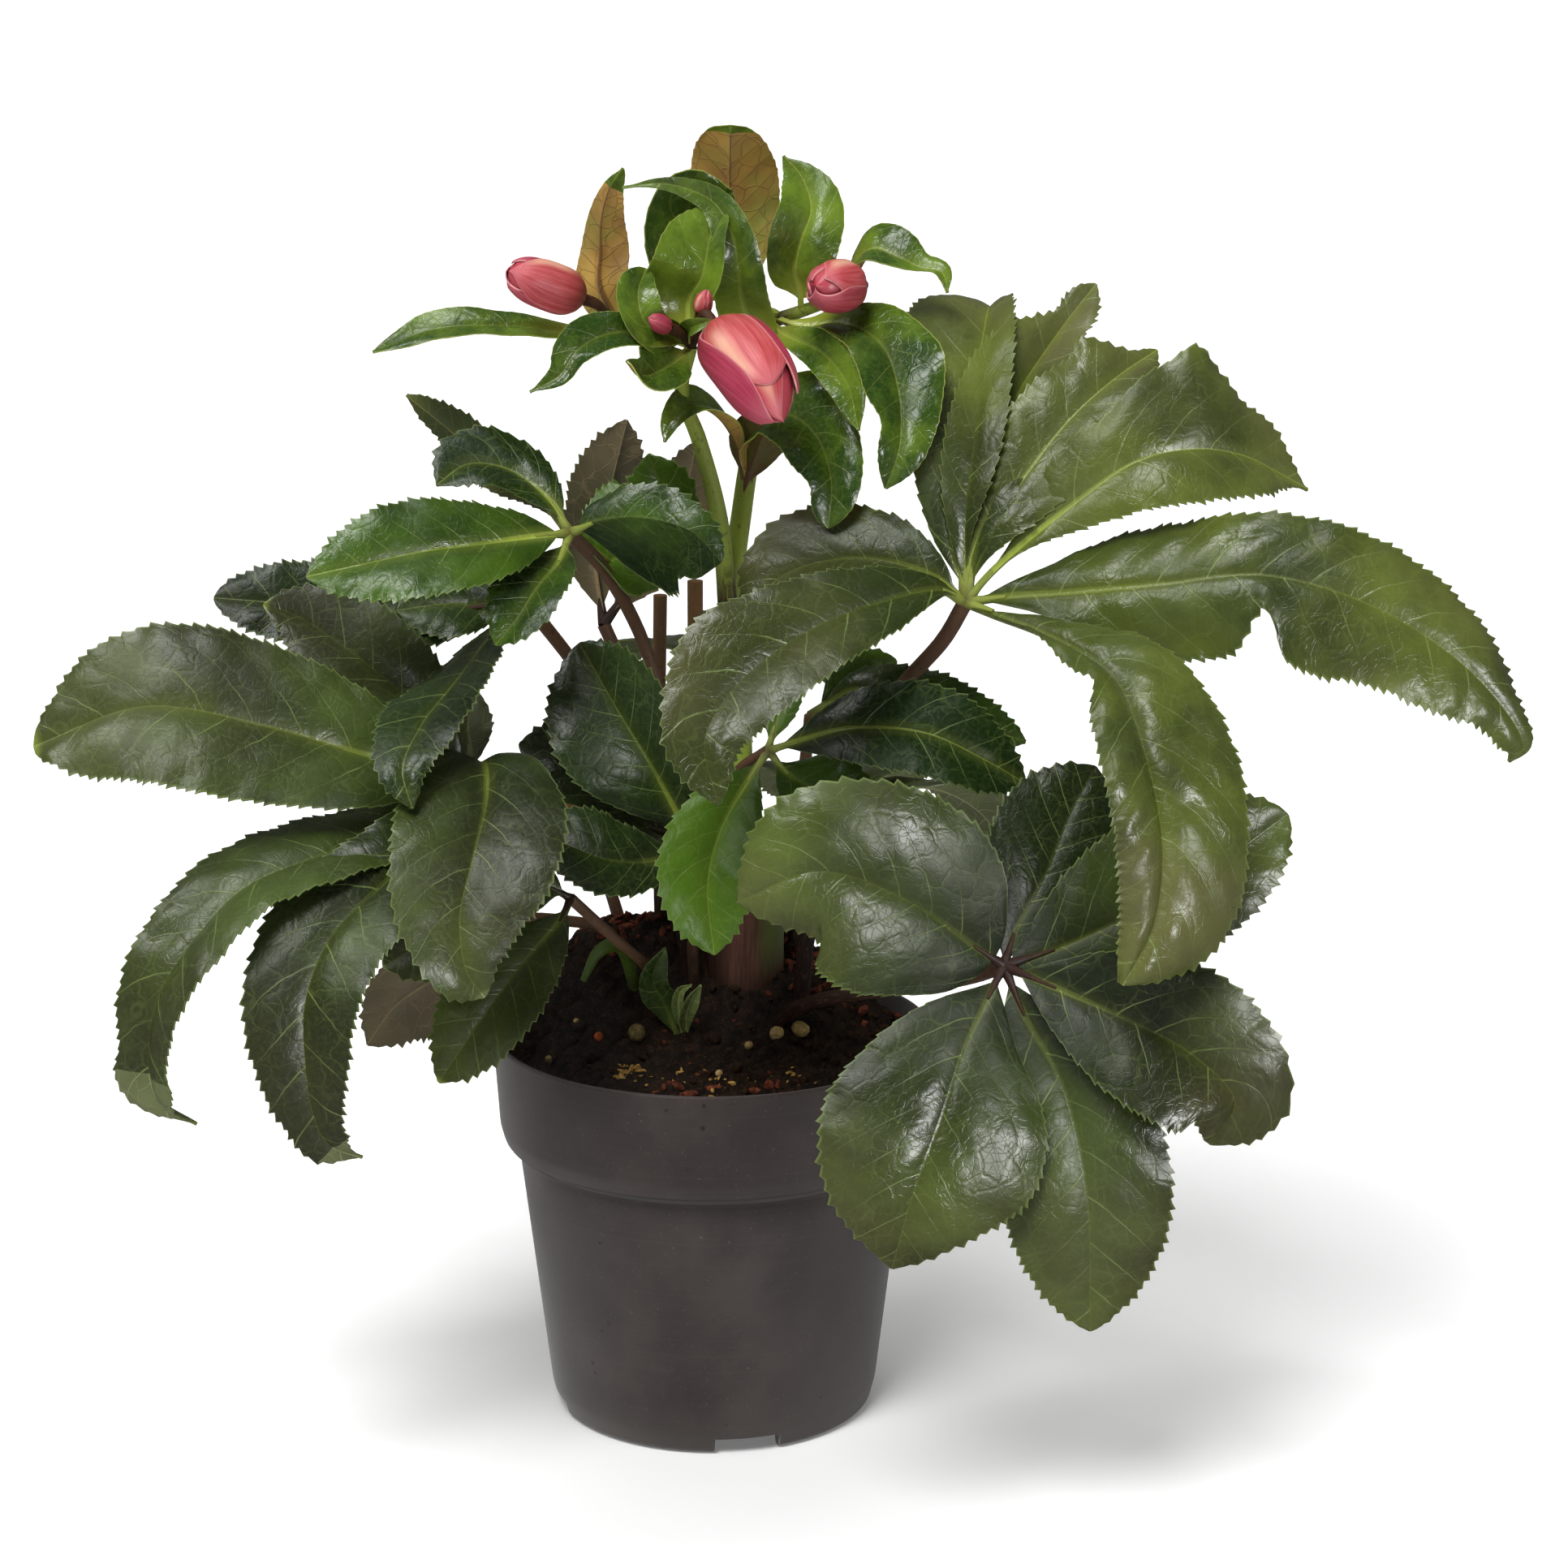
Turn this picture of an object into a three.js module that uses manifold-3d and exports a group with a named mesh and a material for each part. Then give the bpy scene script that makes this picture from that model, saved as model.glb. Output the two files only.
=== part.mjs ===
import * as THREE from "three";
import { mergeVertices } from "three/addons/utils/BufferGeometryUtils.js";
import Module from "manifold-3d";

const wasm = await Module();
wasm.setup();

// A potted hellebore. Millimetres, +Z up. The origin is the middle of the pot's underside,
// and the plant's best side faces -Y.

// ---- Driving dimensions

const POT_HEIGHT = 125;
const RIM_RADIUS = 70;
const RIM_LIP = 1.6; // width of the flat top edge
const BAND_RADIUS = 68.1; // the collar at its lower edge
const BAND_BOTTOM = 87.5;
const WALL_TOP_RADIUS = 62.2; // the wall just under the collar
const WALL_FOOT_RADIUS = 52.6;
const WALL_THICKNESS = 1.6;
const FOOT_RADIUS = 48.5;
const FOOT_RING_WIDTH = 3.6;
const FLOOR_RISE = 5; // the recess under the floor
const FLOOR_TOP = 7;
const CENTRE_PAD_RADIUS = 16;
const POT_SIDES = 36;

const NOTCH_WIDTH = 17; // drain notches in the foot ring
const NOTCH_COUNT = 4;
const FIRST_NOTCH_ANGLE = -77; // degrees from +X
const DRAIN_HOLE_RADIUS = 4.5;
const DRAIN_HOLE_RING = 34;

const FIT_GAP = 0.3; // clearance between pieces that touch
const HOLE_CLEARANCE = 1;
const JOIN_TOLERANCE = 0.1;
const SOIL_EDGE_LEVEL = 121;
const ROOT_BALL_RISE = 36; // the old root ball stands out of the newer soil round it
const ROOT_BALL_CENTRE = [-8, 14];
const ROOT_BALL_REACH = [52, 34];

const BLADE_THICKNESS = 0.8;
const RIB_DEPTH = 1.5; // how far the rib stands below the blade at its base
const WIDE_BLADE = 44; // blades at least this wide are curved between rib and margin too
const STALK_SIDES = 6;
const STALK_STEP = 20; // spacing of a stalk's stations

const LEAF_GREEN = 0x2f4a24;
const INNER_GREEN = 0x1f3d1e;
const BRACT_GREEN = 0x4e7d24;
const YOUNG_GREEN = 0x7d9a3a;
const BACK_BROWN = 0x5a5238;
const BUD_PINK = 0xb8465a;
const DRY_BROWN = 0x6b4f38;
const POT_GREY = 0x3f3b3c;
const SOIL_BROWN = 0x1d130d;

// ---- Leaves

// Each leaf has a stalk that rises from the crown, and leaflets that start at its top.
// rib: the points that a leaflet's rib passes after the stalk's top, ending at its tip.
// face: the way the upper face looks at mid length. fold lifts both margins, twist turns the
// blade along its length, both in degrees. wave lifts and drops the margins, in millimetres.
// widest: where along the rib the blade is widest. skew widens the left margin's side where it
// is negative. blunt: under 0.8 the ends are rounder, over it they are more drawn out.
const LEAVES = {
  leaf_upper_right: {
    colour: LEAF_GREEN,
    stalk: [[28, -12, 118], [29, -15, 150], [38, -20, 208], [58, -32, 243], [71, -42, 261], [77, -46, 273]],
    stalkRadius: [2.8, 2.2],
    leaflets: [
      { rib: [[75, -42, 295], [78, -36, 316], [81, -22, 338], [85, 0, 354], [87, 16, 353]],
        width: 38, face: [-0.25, -1, 0.25], fold: 20, skew: -0.3, teeth: 7 },
      { rib: [[78, -45, 288], [82, -38, 309], [91, -26, 329], [105, -8, 347], [118, 2, 362]],
        width: 35, face: [-0.2, -1, 0.3], fold: 22, teeth: 6 },
      { rib: [[81, -46, 291], [94, -43, 310], [108, -38, 327], [122, -30, 338], [135, -20, 345]],
        width: 32, face: [-0.3, -0.9, 0.5], fold: 12, teeth: 6 },
      { rib: [[85, -48, 283], [105, -51, 301], [127, -53, 317], [144, -50, 320], [159, -44, 317],
          [170, -38, 311], [180, -34, 305]],
        width: 46, face: [0, -0.8, 0.6], skew: -0.24, blunt: 1.45, widest: 0.62, teeth: 8 },
      { rib: [[89, -52, 276], [108, -60, 279], [133, -68, 283], [163, -74, 287], [196, -80, 278],
          [226, -84, 258], [241, -84, 238], [238, -80, 232]],
        width: 42, face: [0, -0.75, 0.65], wave: 3, skew: 0.06, teeth: 10 },
      { rib: [[85, -54, 272], [102, -72, 270], [121, -96, 263], [129, -112, 245], [133, -124, 219],
          [129, -132, 198], [119, -136, 181]],
        width: 40, face: [0.2, -0.95, 0.3], twist: 20, widest: 0.64, teeth: 9 },
      { rib: [[70, -52, 278], [50, -66, 277], [27, -80, 270], [8, -92, 257], [0, -102, 244], [4, -110, 227]],
        width: 36, face: [-0.1, -0.8, 0.6], teeth: 8 },
      { rib: [[69, -46, 280], [53, -42, 285], [36, -38, 284], [21, -36, 278], [13, -38, 266]],
        width: 36, face: [0, -0.75, 0.65], teeth: 6 },
    ],
  },
  leaf_lower_right: {
    colour: LEAF_GREEN,
    stalk: [[20, -20, 118], [22, -21, 134], [31, -29, 142], [48, -40, 149], [66, -56, 156], [80, -84, 168],
      [87, -100, 176]],
    stalkRadius: [2.6, 2.0],
    leaflets: [
      { rib: [[78, -103, 183], [59, -108, 198], [33, -112, 208], [9, -110, 198]],
        width: 62, face: [0.05, -1, 0.25], widest: 0.45, teeth: 8 },
      { rib: [[90, -97, 185], [99, -90, 200], [107, -80, 217], [115, -72, 229]],
        width: 40, face: [0.1, -1, 0.2], teeth: 6 },
      { rib: [[102, -97, 180], [126, -92, 190], [150, -88, 203], [171, -82, 217]],
        width: 44, face: [0.1, -1, 0.3], blunt: 0.65, skew: -0.14, teeth: 7 },
      { rib: [[102, -106, 171], [122, -114, 164], [141, -120, 155], [153, -122, 142], [147, -118, 127]],
        width: 48, face: [0.2, -0.95, 0.3], teeth: 7 },
      { rib: [[93, -104, 162], [104, -112, 143], [111, -120, 113], [113, -118, 69]],
        width: 50, face: [0, -1, 0.1], teeth: 8 },
      { rib: [[82, -107, 168], [75, -116, 156], [68, -126, 137], [60, -132, 117], [54, -132, 94]],
        width: 66, face: [0, -1, 0.15], blunt: 0.95, teeth: 8 },
    ],
  },
  leaf_left: {
    colour: LEAF_GREEN,
    stalk: [[-8, -6, 118], [-8, -8, 150], [-14, -18, 180], [-30, -28, 199], [-54, -44, 211], [-72, -58, 222]],
    stalkRadius: [2.6, 2.0],
    leaflets: [
      { rib: [[-83, -62, 225], [-101, -70, 232], [-129, -76, 242], [-164, -80, 249], [-198, -76, 236]],
        width: 55, face: [0, -0.75, 0.65], teeth: 9 },
      { rib: [[-94, -76, 209], [-114, -90, 206], [-134, -102, 200], [-147, -112, 188], [-157, -118, 173],
          [-161, -118, 154], [-159, -116, 140], [-149, -112, 131]],
        width: 36, face: [-0.4, -0.6, 0.7], widest: 0.42, blunt: 0.95, teeth: 8 },
      { rib: [[-90, -92, 203], [-108, -110, 188], [-115, -120, 171], [-115, -124, 154], [-113, -124, 138],
          [-109, -121, 128], [-100, -118, 123]],
        width: 39, face: [-0.2, -0.95, 0.3], widest: 0.46, blunt: 1.0, teeth: 8 },
      { rib: [[-67, -64, 228], [-65, -80, 221], [-68, -98, 207], [-71, -108, 193], [-69, -114, 179],
          [-64, -112, 170]],
        width: 52, face: [0.05, -1, 0.25], widest: 0.42, teeth: 7 },
      { rib: [[-76, -46, 227], [-91, -38, 241], [-108, -32, 254], [-125, -29, 265], [-135, -30, 269]],
        width: 35, face: [0.2, -0.8, 0.6], teeth: 6 },
      { rib: [[-71, -56, 228], [-72, -50, 237], [-70, -46, 246]],
        width: 14, face: [0, 0.9, 0.2], teeth: 3 },
      { rib: [[-76, -58, 226], [-81, -56, 235], [-84, -55, 239]],
        width: 10, face: [0, -1, 0.3], teeth: 3 },
    ],
  },
  leaf_upper_left: {
    colour: BRACT_GREEN,
    stalk: [[-12, 4, 118], [-11, 4, 150], [-10, 1, 200], [-20, -4, 249], [-32, -14, 276], [-42, -25, 290]],
    stalkRadius: [2.6, 2.0],
    leaflets: [
      { rib: [[-52, -36, 291], [-66, -46, 291], [-84, -54, 290], [-103, -60, 287], [-118, -62, 284]],
        width: 33, face: [0, -0.8, 0.6], teeth: 6 },
      { rib: [[-48, -22, 299], [-61, -17, 308], [-73, -19, 310], [-82, -26, 305]],
        width: 24, face: [0.1, -0.6, 0.8], teeth: 5 },
      { rib: [[-55, -8, 301], [-69, 2, 307], [-80, 8, 316], [-94, 14, 326]],
        width: 17, face: [0.4, 0.9, 0.2], teeth: 5 },
      { rib: [[-45, -34, 283], [-51, -44, 277], [-57, -52, 269], [-63, -56, 262]],
        width: 24, face: [-0.3, -0.9, 0.3], teeth: 5 },
      { rib: [[-35, -30, 294], [-20, -38, 297], [-5, -44, 294], [4, -46, 285]],
        width: 28, face: [0, -0.6, 0.8], teeth: 5 },
      { rib: [[-31, -4, 277], [-22, 4, 286], [-16, 6, 298], [-19, 4, 309]],
        width: 34, face: [0, -0.9, 0.4], teeth: 5 },
    ],
  },
  leaf_inner_left: {
    colour: INNER_GREEN,
    stalk: [[-3, -17, 118], [-4, -20, 160], [-6, -25, 194]],
    stalkRadius: [2.4, 1.8],
    leaflets: [
      { rib: [[-10, -28, 203], [-18, -30, 219], [-29, -27, 237], [-40, -16, 254]],
        width: 37, face: [-0.1, -1, 0.2], teeth: 6 },
      { rib: [[-16, -34, 190], [-31, -42, 192], [-45, -48, 199], [-56, -50, 202]],
        width: 27, face: [0, -0.8, 0.6], teeth: 5 },
      { rib: [[-19, -16, 195], [-34, -12, 207], [-47, -8, 216], [-60, -4, 219]],
        width: 28, face: [0, -0.9, 0.4], teeth: 5 },
    ],
  },
  leaf_centre: {
    colour: BRACT_GREEN,
    stalk: [[8, -18, 118], [6, -23, 150], [4, -34, 195], [8, -40, 218], [18, -45, 227]],
    stalkRadius: [2.2, 1.7],
    leaflets: [
      { rib: [[27, -50, 231], [43, -58, 237], [65, -64, 237], [83, -66, 229], [95, -62, 221]],
        width: 30, face: [0, -0.8, 0.6], teeth: 6 },
      { rib: [[20, -42, 234], [22, -38, 240], [27, -34, 248]],
        width: 11, face: [0, -1, 0.3], teeth: 3 },
      { rib: [[24, -46, 220], [36, -48, 214], [51, -50, 213]],
        width: 26, face: [0, -0.9, 0.4], teeth: 4 },
      { rib: [[12, -50, 219], [4, -60, 207], [0, -70, 192], [2, -76, 172]],
        width: 32, face: [-0.1, -0.95, 0.3], teeth: 6 },
    ],
  },
  leaf_low_left: {
    colour: LEAF_GREEN,
    stalk: [[-14, -13, 122], [-17, -24, 148], [-30, -40, 167], [-42, -50, 182]],
    stalkRadius: [2.4, 2.0],
    leaflets: [
      { rib: [[-45, -58, 177], [-56, -72, 167], [-68, -84, 153], [-80, -88, 136]],
        width: 29, face: [-0.3, -0.9, 0.3], teeth: 6 },
      { rib: [[-48, -52, 186], [-57, -56, 189], [-67, -60, 189]],
        width: 22, face: [0, -0.8, 0.6], teeth: 3 },
    ],
  },
  leaf_back_low_left: {
    colour: BACK_BROWN,
    stalk: [[-24, 6, 122], [-32, 5, 154], [-48, -2, 161], [-65, -10, 164]],
    stalkRadius: [2.2, 1.8],
    leaflets: [
      { rib: [[-71, -10, 159], [-85, -8, 145], [-100, -8, 134], [-109, -10, 122]],
        width: 30, face: [0.3, 0.8, -0.5], teeth: 5 },
      { rib: [[-70, -12, 168], [-85, -18, 161], [-102, -26, 153]],
        width: 28, face: [0, -0.8, 0.6], teeth: 5 },
    ],
  },
  leaf_back_left: {
    colour: LEAF_GREEN,
    stalk: [[-8, 22, 122], [-15, 20, 175], [-38, 10, 233], [-57, 0, 263]],
    stalkRadius: [2.6, 2.0],
    leaflets: [
      { rib: [[-80, 0, 261], [-107, -8, 262], [-133, -14, 266], [-152, -16, 268]],
        width: 30, face: [0, -0.8, 0.6], blunt: 0.6, teeth: 6 },
      { rib: [[-70, 2, 262], [-83, -2, 263], [-97, -6, 262]],
        width: 24, face: [0, -0.8, 0.6], teeth: 4 },
      { rib: [[-67, -24, 257], [-75, -50, 250], [-84, -78, 242], [-88, -92, 233], [-85, -98, 223]],
        width: 28, face: [-0.4, -0.7, 0.5], twist: 50, teeth: 6 },
    ],
  },
  leaf_back_right: {
    colour: YOUNG_GREEN,
    stalk: [[28, 6, 118], [26, 7, 170], [31, -4, 228]],
    stalkRadius: [2.4, 1.8],
    leaflets: [
      { rib: [[46, -14, 239], [66, -20, 235], [97, -26, 225]],
        width: 22, face: [0, -0.8, 0.6], teeth: 5 },
      { rib: [[47, 0, 239], [58, 4, 244]],
        width: 18, face: [0, -0.9, 0.4], teeth: 3 },
      { rib: [[57, -6, 234], [69, -4, 236], [68, 0, 240]],
        width: 16, face: [0, -0.9, 0.4], teeth: 3 },
    ],
  },
  leaf_back_centre: {
    colour: BACK_BROWN,
    stalk: [[4, 26, 122], [-10, 34, 190], [-35, 38, 248]],
    stalkRadius: [2.6, 2.0],
    leaflets: [
      { rib: [[-38, 48, 267], [-34, 54, 287], [-28, 58, 311]],
        width: 26, face: [-0.3, 0.9, 0.3], teeth: 5 },
      { rib: [[-20, 42, 268], [-10, 44, 286], [-5, 46, 306]],
        width: 22, face: [0.2, 0.9, 0.3], teeth: 4 },
    ],
  },
  leaf_rear_right: {
    colour: LEAF_GREEN,
    stalk: [[26, 20, 118], [32, 36, 150], [40, 52, 176]],
    stalkRadius: [2.6, 2.0],
    leaflets: [
      { rib: [[52, 66, 183], [72, 88, 182], [92, 108, 166], [102, 122, 142]],
        width: 34, face: [0.3, 0.5, 0.8], teeth: 6 },
      { rib: [[46, 74, 188], [54, 102, 186], [62, 132, 166]],
        width: 32, face: [0.1, 0.5, 0.8], teeth: 6 },
      { rib: [[34, 72, 186], [28, 104, 184], [24, 136, 164]],
        width: 30, face: [-0.1, 0.5, 0.8], teeth: 6 },
    ],
  },
  leaf_rear_left: {
    colour: LEAF_GREEN,
    stalk: [[-22, 24, 118], [-32, 40, 152], [-42, 58, 176]],
    stalkRadius: [2.6, 2.0],
    leaflets: [
      { rib: [[-56, 70, 182], [-76, 86, 178], [-96, 102, 162], [-106, 112, 140]],
        width: 34, face: [-0.3, 0.5, 0.8], teeth: 6 },
      { rib: [[-48, 80, 186], [-54, 106, 182], [-60, 132, 162]],
        width: 32, face: [-0.1, 0.5, 0.8], teeth: 6 },
      { rib: [[-34, 78, 188], [-26, 104, 186], [-20, 132, 166]],
        width: 30, face: [0.1, 0.5, 0.8], teeth: 6 },
    ],
  },
  leaf_rear_top: {
    colour: LEAF_GREEN,
    stalk: [[14, 34, 118], [10, 48, 180], [4, 62, 226]],
    stalkRadius: [2.6, 2.0],
    leaflets: [
      { rib: [[-6, 72, 232], [-22, 90, 230], [-38, 108, 214]],
        width: 28, face: [-0.3, 0.4, 0.85], teeth: 5 },
      { rib: [[6, 80, 238], [10, 104, 236], [14, 136, 216]],
        width: 30, face: [0, 0.5, 0.8], teeth: 6 },
      { rib: [[18, 72, 230], [34, 88, 224], [50, 106, 206]],
        width: 28, face: [0.3, 0.4, 0.85], teeth: 5 },
    ],
  },
};

// ---- Flowering stem: its axes, and the bracts round the buds

const STEM_AXES = [
  { route: [[8, 1, 129], [8, 1, 171], [9, 0, 218], [6, 2, 258], [10, 6, 293], [13, 6, 314], [16, 4, 342],
      [19, 2, 354]], radius: [4.6, 2.6] },
  { route: [[6, 1, 250], [3, -10, 291], [-3, -16, 317], [-8, -22, 333], [-5, -26, 347]], radius: [3.2, 2.0] },
  { route: [[16, 4, 342], [-6, 2, 348], [-31, -1, 352]], radius: [2.2, 1.5] },
  { route: [[18, 3, 350], [34, 0, 356], [46, -4, 361]], radius: [2.2, 1.5] },
  { route: [[18, 4, 349], [11, 14, 357]], radius: [2.2, 1.8] },
];

const BRACTS = [
  { from: [-5, -26, 347], rib: [[-17, -36, 352], [-29, -42, 353], [-38, -48, 349], [-43, -50, 342],
      [-52, -50, 337]], width: 17, face: [0.1, -0.8, 0.6], widest: 0.42, blunt: 1.15 },
  { from: [-5, -26, 347], rib: [[-12, -41, 343], [-19, -51, 342], [-23, -54, 347]],
    width: 15, face: [0, -0.9, 0.4] },
  { from: [-5, -26, 347], rib: [[-5, -22, 354], [-4, -26, 368], [-1, -20, 380], [5, -4, 385]],
    width: 30, face: [0.1, -0.95, 0.2] },
  { from: [16, 4, 342], rib: [[14, -4, 358], [13, -8, 371], [8, -12, 383], [-1, -14, 391], [-11, -16, 395],
      [-25, -17, 394]], width: 14, face: [-0.2, -0.7, 0.6] },
  { from: [-5, -26, 347], rib: [[-13, -27, 353], [-21, -30, 361], [-19, -26, 371]],
    width: 18, face: [0.5, -0.6, 0.4] },
  { from: [-28, 0, 351], rib: [[-29, 0, 357], [-32, 3, 369], [-33, 5, 383], [-26, 3, 397]],
    width: 17, face: [0.2, 0.95, 0.2] },
  { from: [-30, -1, 352], rib: [[-42, -2, 348], [-57, -6, 350], [-82, -10, 350], [-102, -10, 343]],
    width: 13, face: [0, -0.5, 0.85] },
  { from: [28, 1, 354], rib: [[27, -5, 360], [24, -10, 372], [28, -8, 387], [23, 0, 401]],
    width: 26, face: [0, -1, 0.1], blunt: 0.95 },
  { from: [44, -3, 360], rib: [[45, -6, 368], [50, -9, 374], [57, -12, 372], [64, -14, 369], [70, -16, 368],
      [72, -18, 362]], width: 18, face: [0, -0.5, 0.85], widest: 0.34, blunt: 1.0 },
  { from: [19, 2, 352], rib: [[29, -6, 350], [41, -14, 352], [52, -24, 347], [57, -34, 334], [57, -42, 319],
      [53, -44, 307]], width: 27, face: [0.2, -0.9, 0.4] },
  { from: [19, 2, 350], rib: [[24, -10, 348], [35, -22, 344], [42, -32, 336], [45, -40, 324]],
    width: 14, face: [-0.2, -0.9, 0.4] },
  { from: [11, 14, 355], rib: [[12, 20, 360], [7, 24, 374], [7, 24, 394], [13, 16, 410]],
    width: 28, face: [0, 1, 0.1] },
  { from: [11, 14, 355], rib: [[2, 12, 360], [-4, 9, 374], [-2, 7, 388], [7, 4, 394]],
    width: 32, face: [0, -1, 0.1] },
  { from: [11, 6, 298], rib: [[8, -4, 315], [2, -14, 325], [-6, -24, 329], [-11, -30, 325], [-13, -32, 319]],
    width: 13, face: [0, -0.6, 0.8] },
  { from: [11, 6, 298], rib: [[15, -2, 314], [24, -14, 324], [33, -26, 319], [37, -34, 307], [36, -38, 294]],
    width: 26, face: [0.2, -0.9, 0.4], blunt: 0.6 },
  { from: [10, 5, 296], rib: [[12, 2, 304], [15, -8, 314], [19, -12, 326]],
    width: 20, face: [0, 1, 0.2] },
];

// The sheath round the stem's foot.
const SHEATH_FOOT = [10, 0];
const SHEATH_BOTTOM = 128;
const SHEATH_HEIGHT = 44;
const SHEATH_RADII = [11.5, 13, 12.5, 13.5]; // from the bottom up, evenly spaced
const SHEATH_SIDES = 12;

// ---- Buds: where the stalk branches off, base, tip, greatest radius, and how many sepals

const BUDS = {
  bud_centre: { from: [-5, -26, 347], base: [2, -38, 355], tip: [23, -64, 330], radius: 11.4, sepals: 5,
    fineness: 5 },
  bud_small: { from: [-5, -26, 347], base: [-11, -37, 354], tip: [-17, -43, 358], radius: 3.6, sepals: 4,
    fineness: 3 },
  bud_brown: { from: [-5, -26, 347], base: [-2, -31, 357], tip: [0, -33, 365], radius: 3.6, sepals: 4,
    fineness: 3 },
  bud_left: { from: [-31, -1, 352], base: [-38, -10, 359], tip: [-60, -21, 369], radius: 8.2, sepals: 5,
    fineness: 4 },
  bud_right: { from: [46, -4, 361], base: [44, -15, 364], tip: [32, -33, 366], radius: 8.2, sepals: 5,
    fineness: 4 },
};
const BUD_STALK_RADIUS = 1.5;
const BUD_STALK_BEND = 5; // how far from the bud its stalk has turned into line with it

// ---- Other things at the crown

const CUT_STALKS = {
  cut_stalk_right: { route: [[-2, 17, 122], [-5, 11, 200], [-5, 10, 268]], radius: [2.7, 2.5] },
  cut_stalk_left: { route: [[-16, 16, 122], [-17, 13, 200], [-16, 12, 263]], radius: [2.4, 2.2] },
};

const SPROUT = {
  colour: INNER_GREEN,
  stalk: [[-9, -21, 120], [-9, -23, 138], [-10, -27, 148]],
  stalkRadius: [2.2, 1.8],
  leaflets: [
    { rib: [[-13, -30, 156], [-16, -33, 165], [-15, -35, 174]],
      width: 13, face: [-0.5, -0.8, 0.2], fold: 25, teeth: 3 },
    { rib: [[-8, -31, 154], [-5, -36, 160], [-2, -40, 164]],
      width: 10, face: [0.2, -0.8, 0.5], fold: 25, teeth: 3 },
  ],
};

const SHOOT = { route: [[-25, -10, 118], [-25, -11, 145], [-29, -16, 157], [-35, -20, 156], [-40, -22, 147]],
  radius: [2.4, 2.6] };

// ---- Curves and frames

const point = (xyz) => new THREE.Vector3(...xyz);

function smoothRoute(points) {
  return new THREE.CatmullRomCurve3(points.map(point), false, "centripetal");
}

// Evenly spaced stations along a route, each with its way forward and a normal carried from
// the middle out to both ends without spinning.
function stationsAlong(curve, count, facing) {
  const stations = [];
  for (let i = 0; i <= count; i += 1) {
    stations.push({ at: curve.getPointAt(i / count), forward: curve.getTangentAt(i / count) });
  }
  const middle = Math.round(count / 2);
  const square = (normal, forward) => normal.clone().addScaledVector(forward, -normal.dot(forward)).normalize();
  stations[middle].normal = square(facing, stations[middle].forward);
  for (let i = middle + 1; i <= count; i += 1) {
    stations[i].normal = square(stations[i - 1].normal, stations[i].forward);
  }
  for (let i = middle - 1; i >= 0; i -= 1) {
    stations[i].normal = square(stations[i + 1].normal, stations[i].forward);
  }
  return stations;
}

// ---- Solids

function solidFromTriangles(positions, indices) {
  const mesh = new wasm.Mesh({
    numProp: 3,
    vertProperties: new Float32Array(positions),
    triVerts: new Uint32Array(indices),
  });
  return new wasm.Manifold(mesh);
}

function solidFromGeometry(geometry) {
  const bare = geometry.clone();
  bare.deleteAttribute("normal");
  bare.deleteAttribute("uv");
  const merged = mergeVertices(bare, 1e-4);
  return solidFromTriangles(merged.attributes.position.array, merged.index.array);
}

function meshFromSolid(name, solid, material) {
  const { vertProperties, triVerts, numProp } = solid.getMesh();
  const positions = new Float32Array((vertProperties.length / numProp) * 3);
  for (let i = 0; i < positions.length / 3; i += 1) {
    positions.set(vertProperties.subarray(i * numProp, i * numProp + 3), i * 3);
  }
  const geometry = new THREE.BufferGeometry();
  geometry.setAttribute("position", new THREE.BufferAttribute(positions, 3));
  geometry.setIndex(new THREE.BufferAttribute(triVerts, 1));
  geometry.computeVertexNormals();
  const mesh = new THREE.Mesh(geometry, material);
  mesh.name = name;
  return mesh;
}

// Joined pieces leave slivers where they cross, which are dropped.
const join = (solids) => solids.reduce((whole, next) => whole.add(next)).asOriginal().simplify(JOIN_TOLERANCE);

// A round stalk that tapers from radii[0] to radii[1] along a route, closed at both ends.
function taperedStalk(route, radii, extra = 0) {
  const curve = smoothRoute(route);
  const count = Math.max(2, Math.round(curve.getLength() / STALK_STEP));
  const stations = stationsAlong(curve, count, new THREE.Vector3(0.3, -1, 0.2));
  const sides = STALK_SIDES;
  const positions = [];
  const indices = [];
  stations.forEach(({ at, forward, normal }, i) => {
    const radius = THREE.MathUtils.lerp(radii[0], radii[1], i / count) + extra;
    const side = new THREE.Vector3().crossVectors(forward, normal);
    for (let k = 0; k < sides; k += 1) {
      const angle = (k / sides) * 2 * Math.PI;
      const out = at.clone();
      out.addScaledVector(side, radius * Math.cos(angle));
      out.addScaledVector(normal, radius * Math.sin(angle));
      positions.push(...out.toArray());
    }
  });
  for (let i = 0; i < count; i += 1) {
    for (let k = 0; k < sides; k += 1) {
      const a = i * sides + k;
      const b = i * sides + ((k + 1) % sides);
      indices.push(a, a + sides, b, b, a + sides, b + sides);
    }
  }
  const last = count * sides;
  for (let k = 1; k < sides - 1; k += 1) {
    indices.push(0, k, k + 1);
    indices.push(last, last + k + 1, last + k);
  }
  return solidFromTriangles(positions, indices);
}

// Half the blade's width at t, as a share of its greatest: narrow at the base, pointed at the tip.
function bladeOutline(t, widest, blunt) {
  const rise = Math.pow(t / widest, (blunt * widest) / (1 - widest));
  const fall = Math.pow((1 - t) / (1 - widest), blunt);
  return rise * fall;
}

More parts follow.
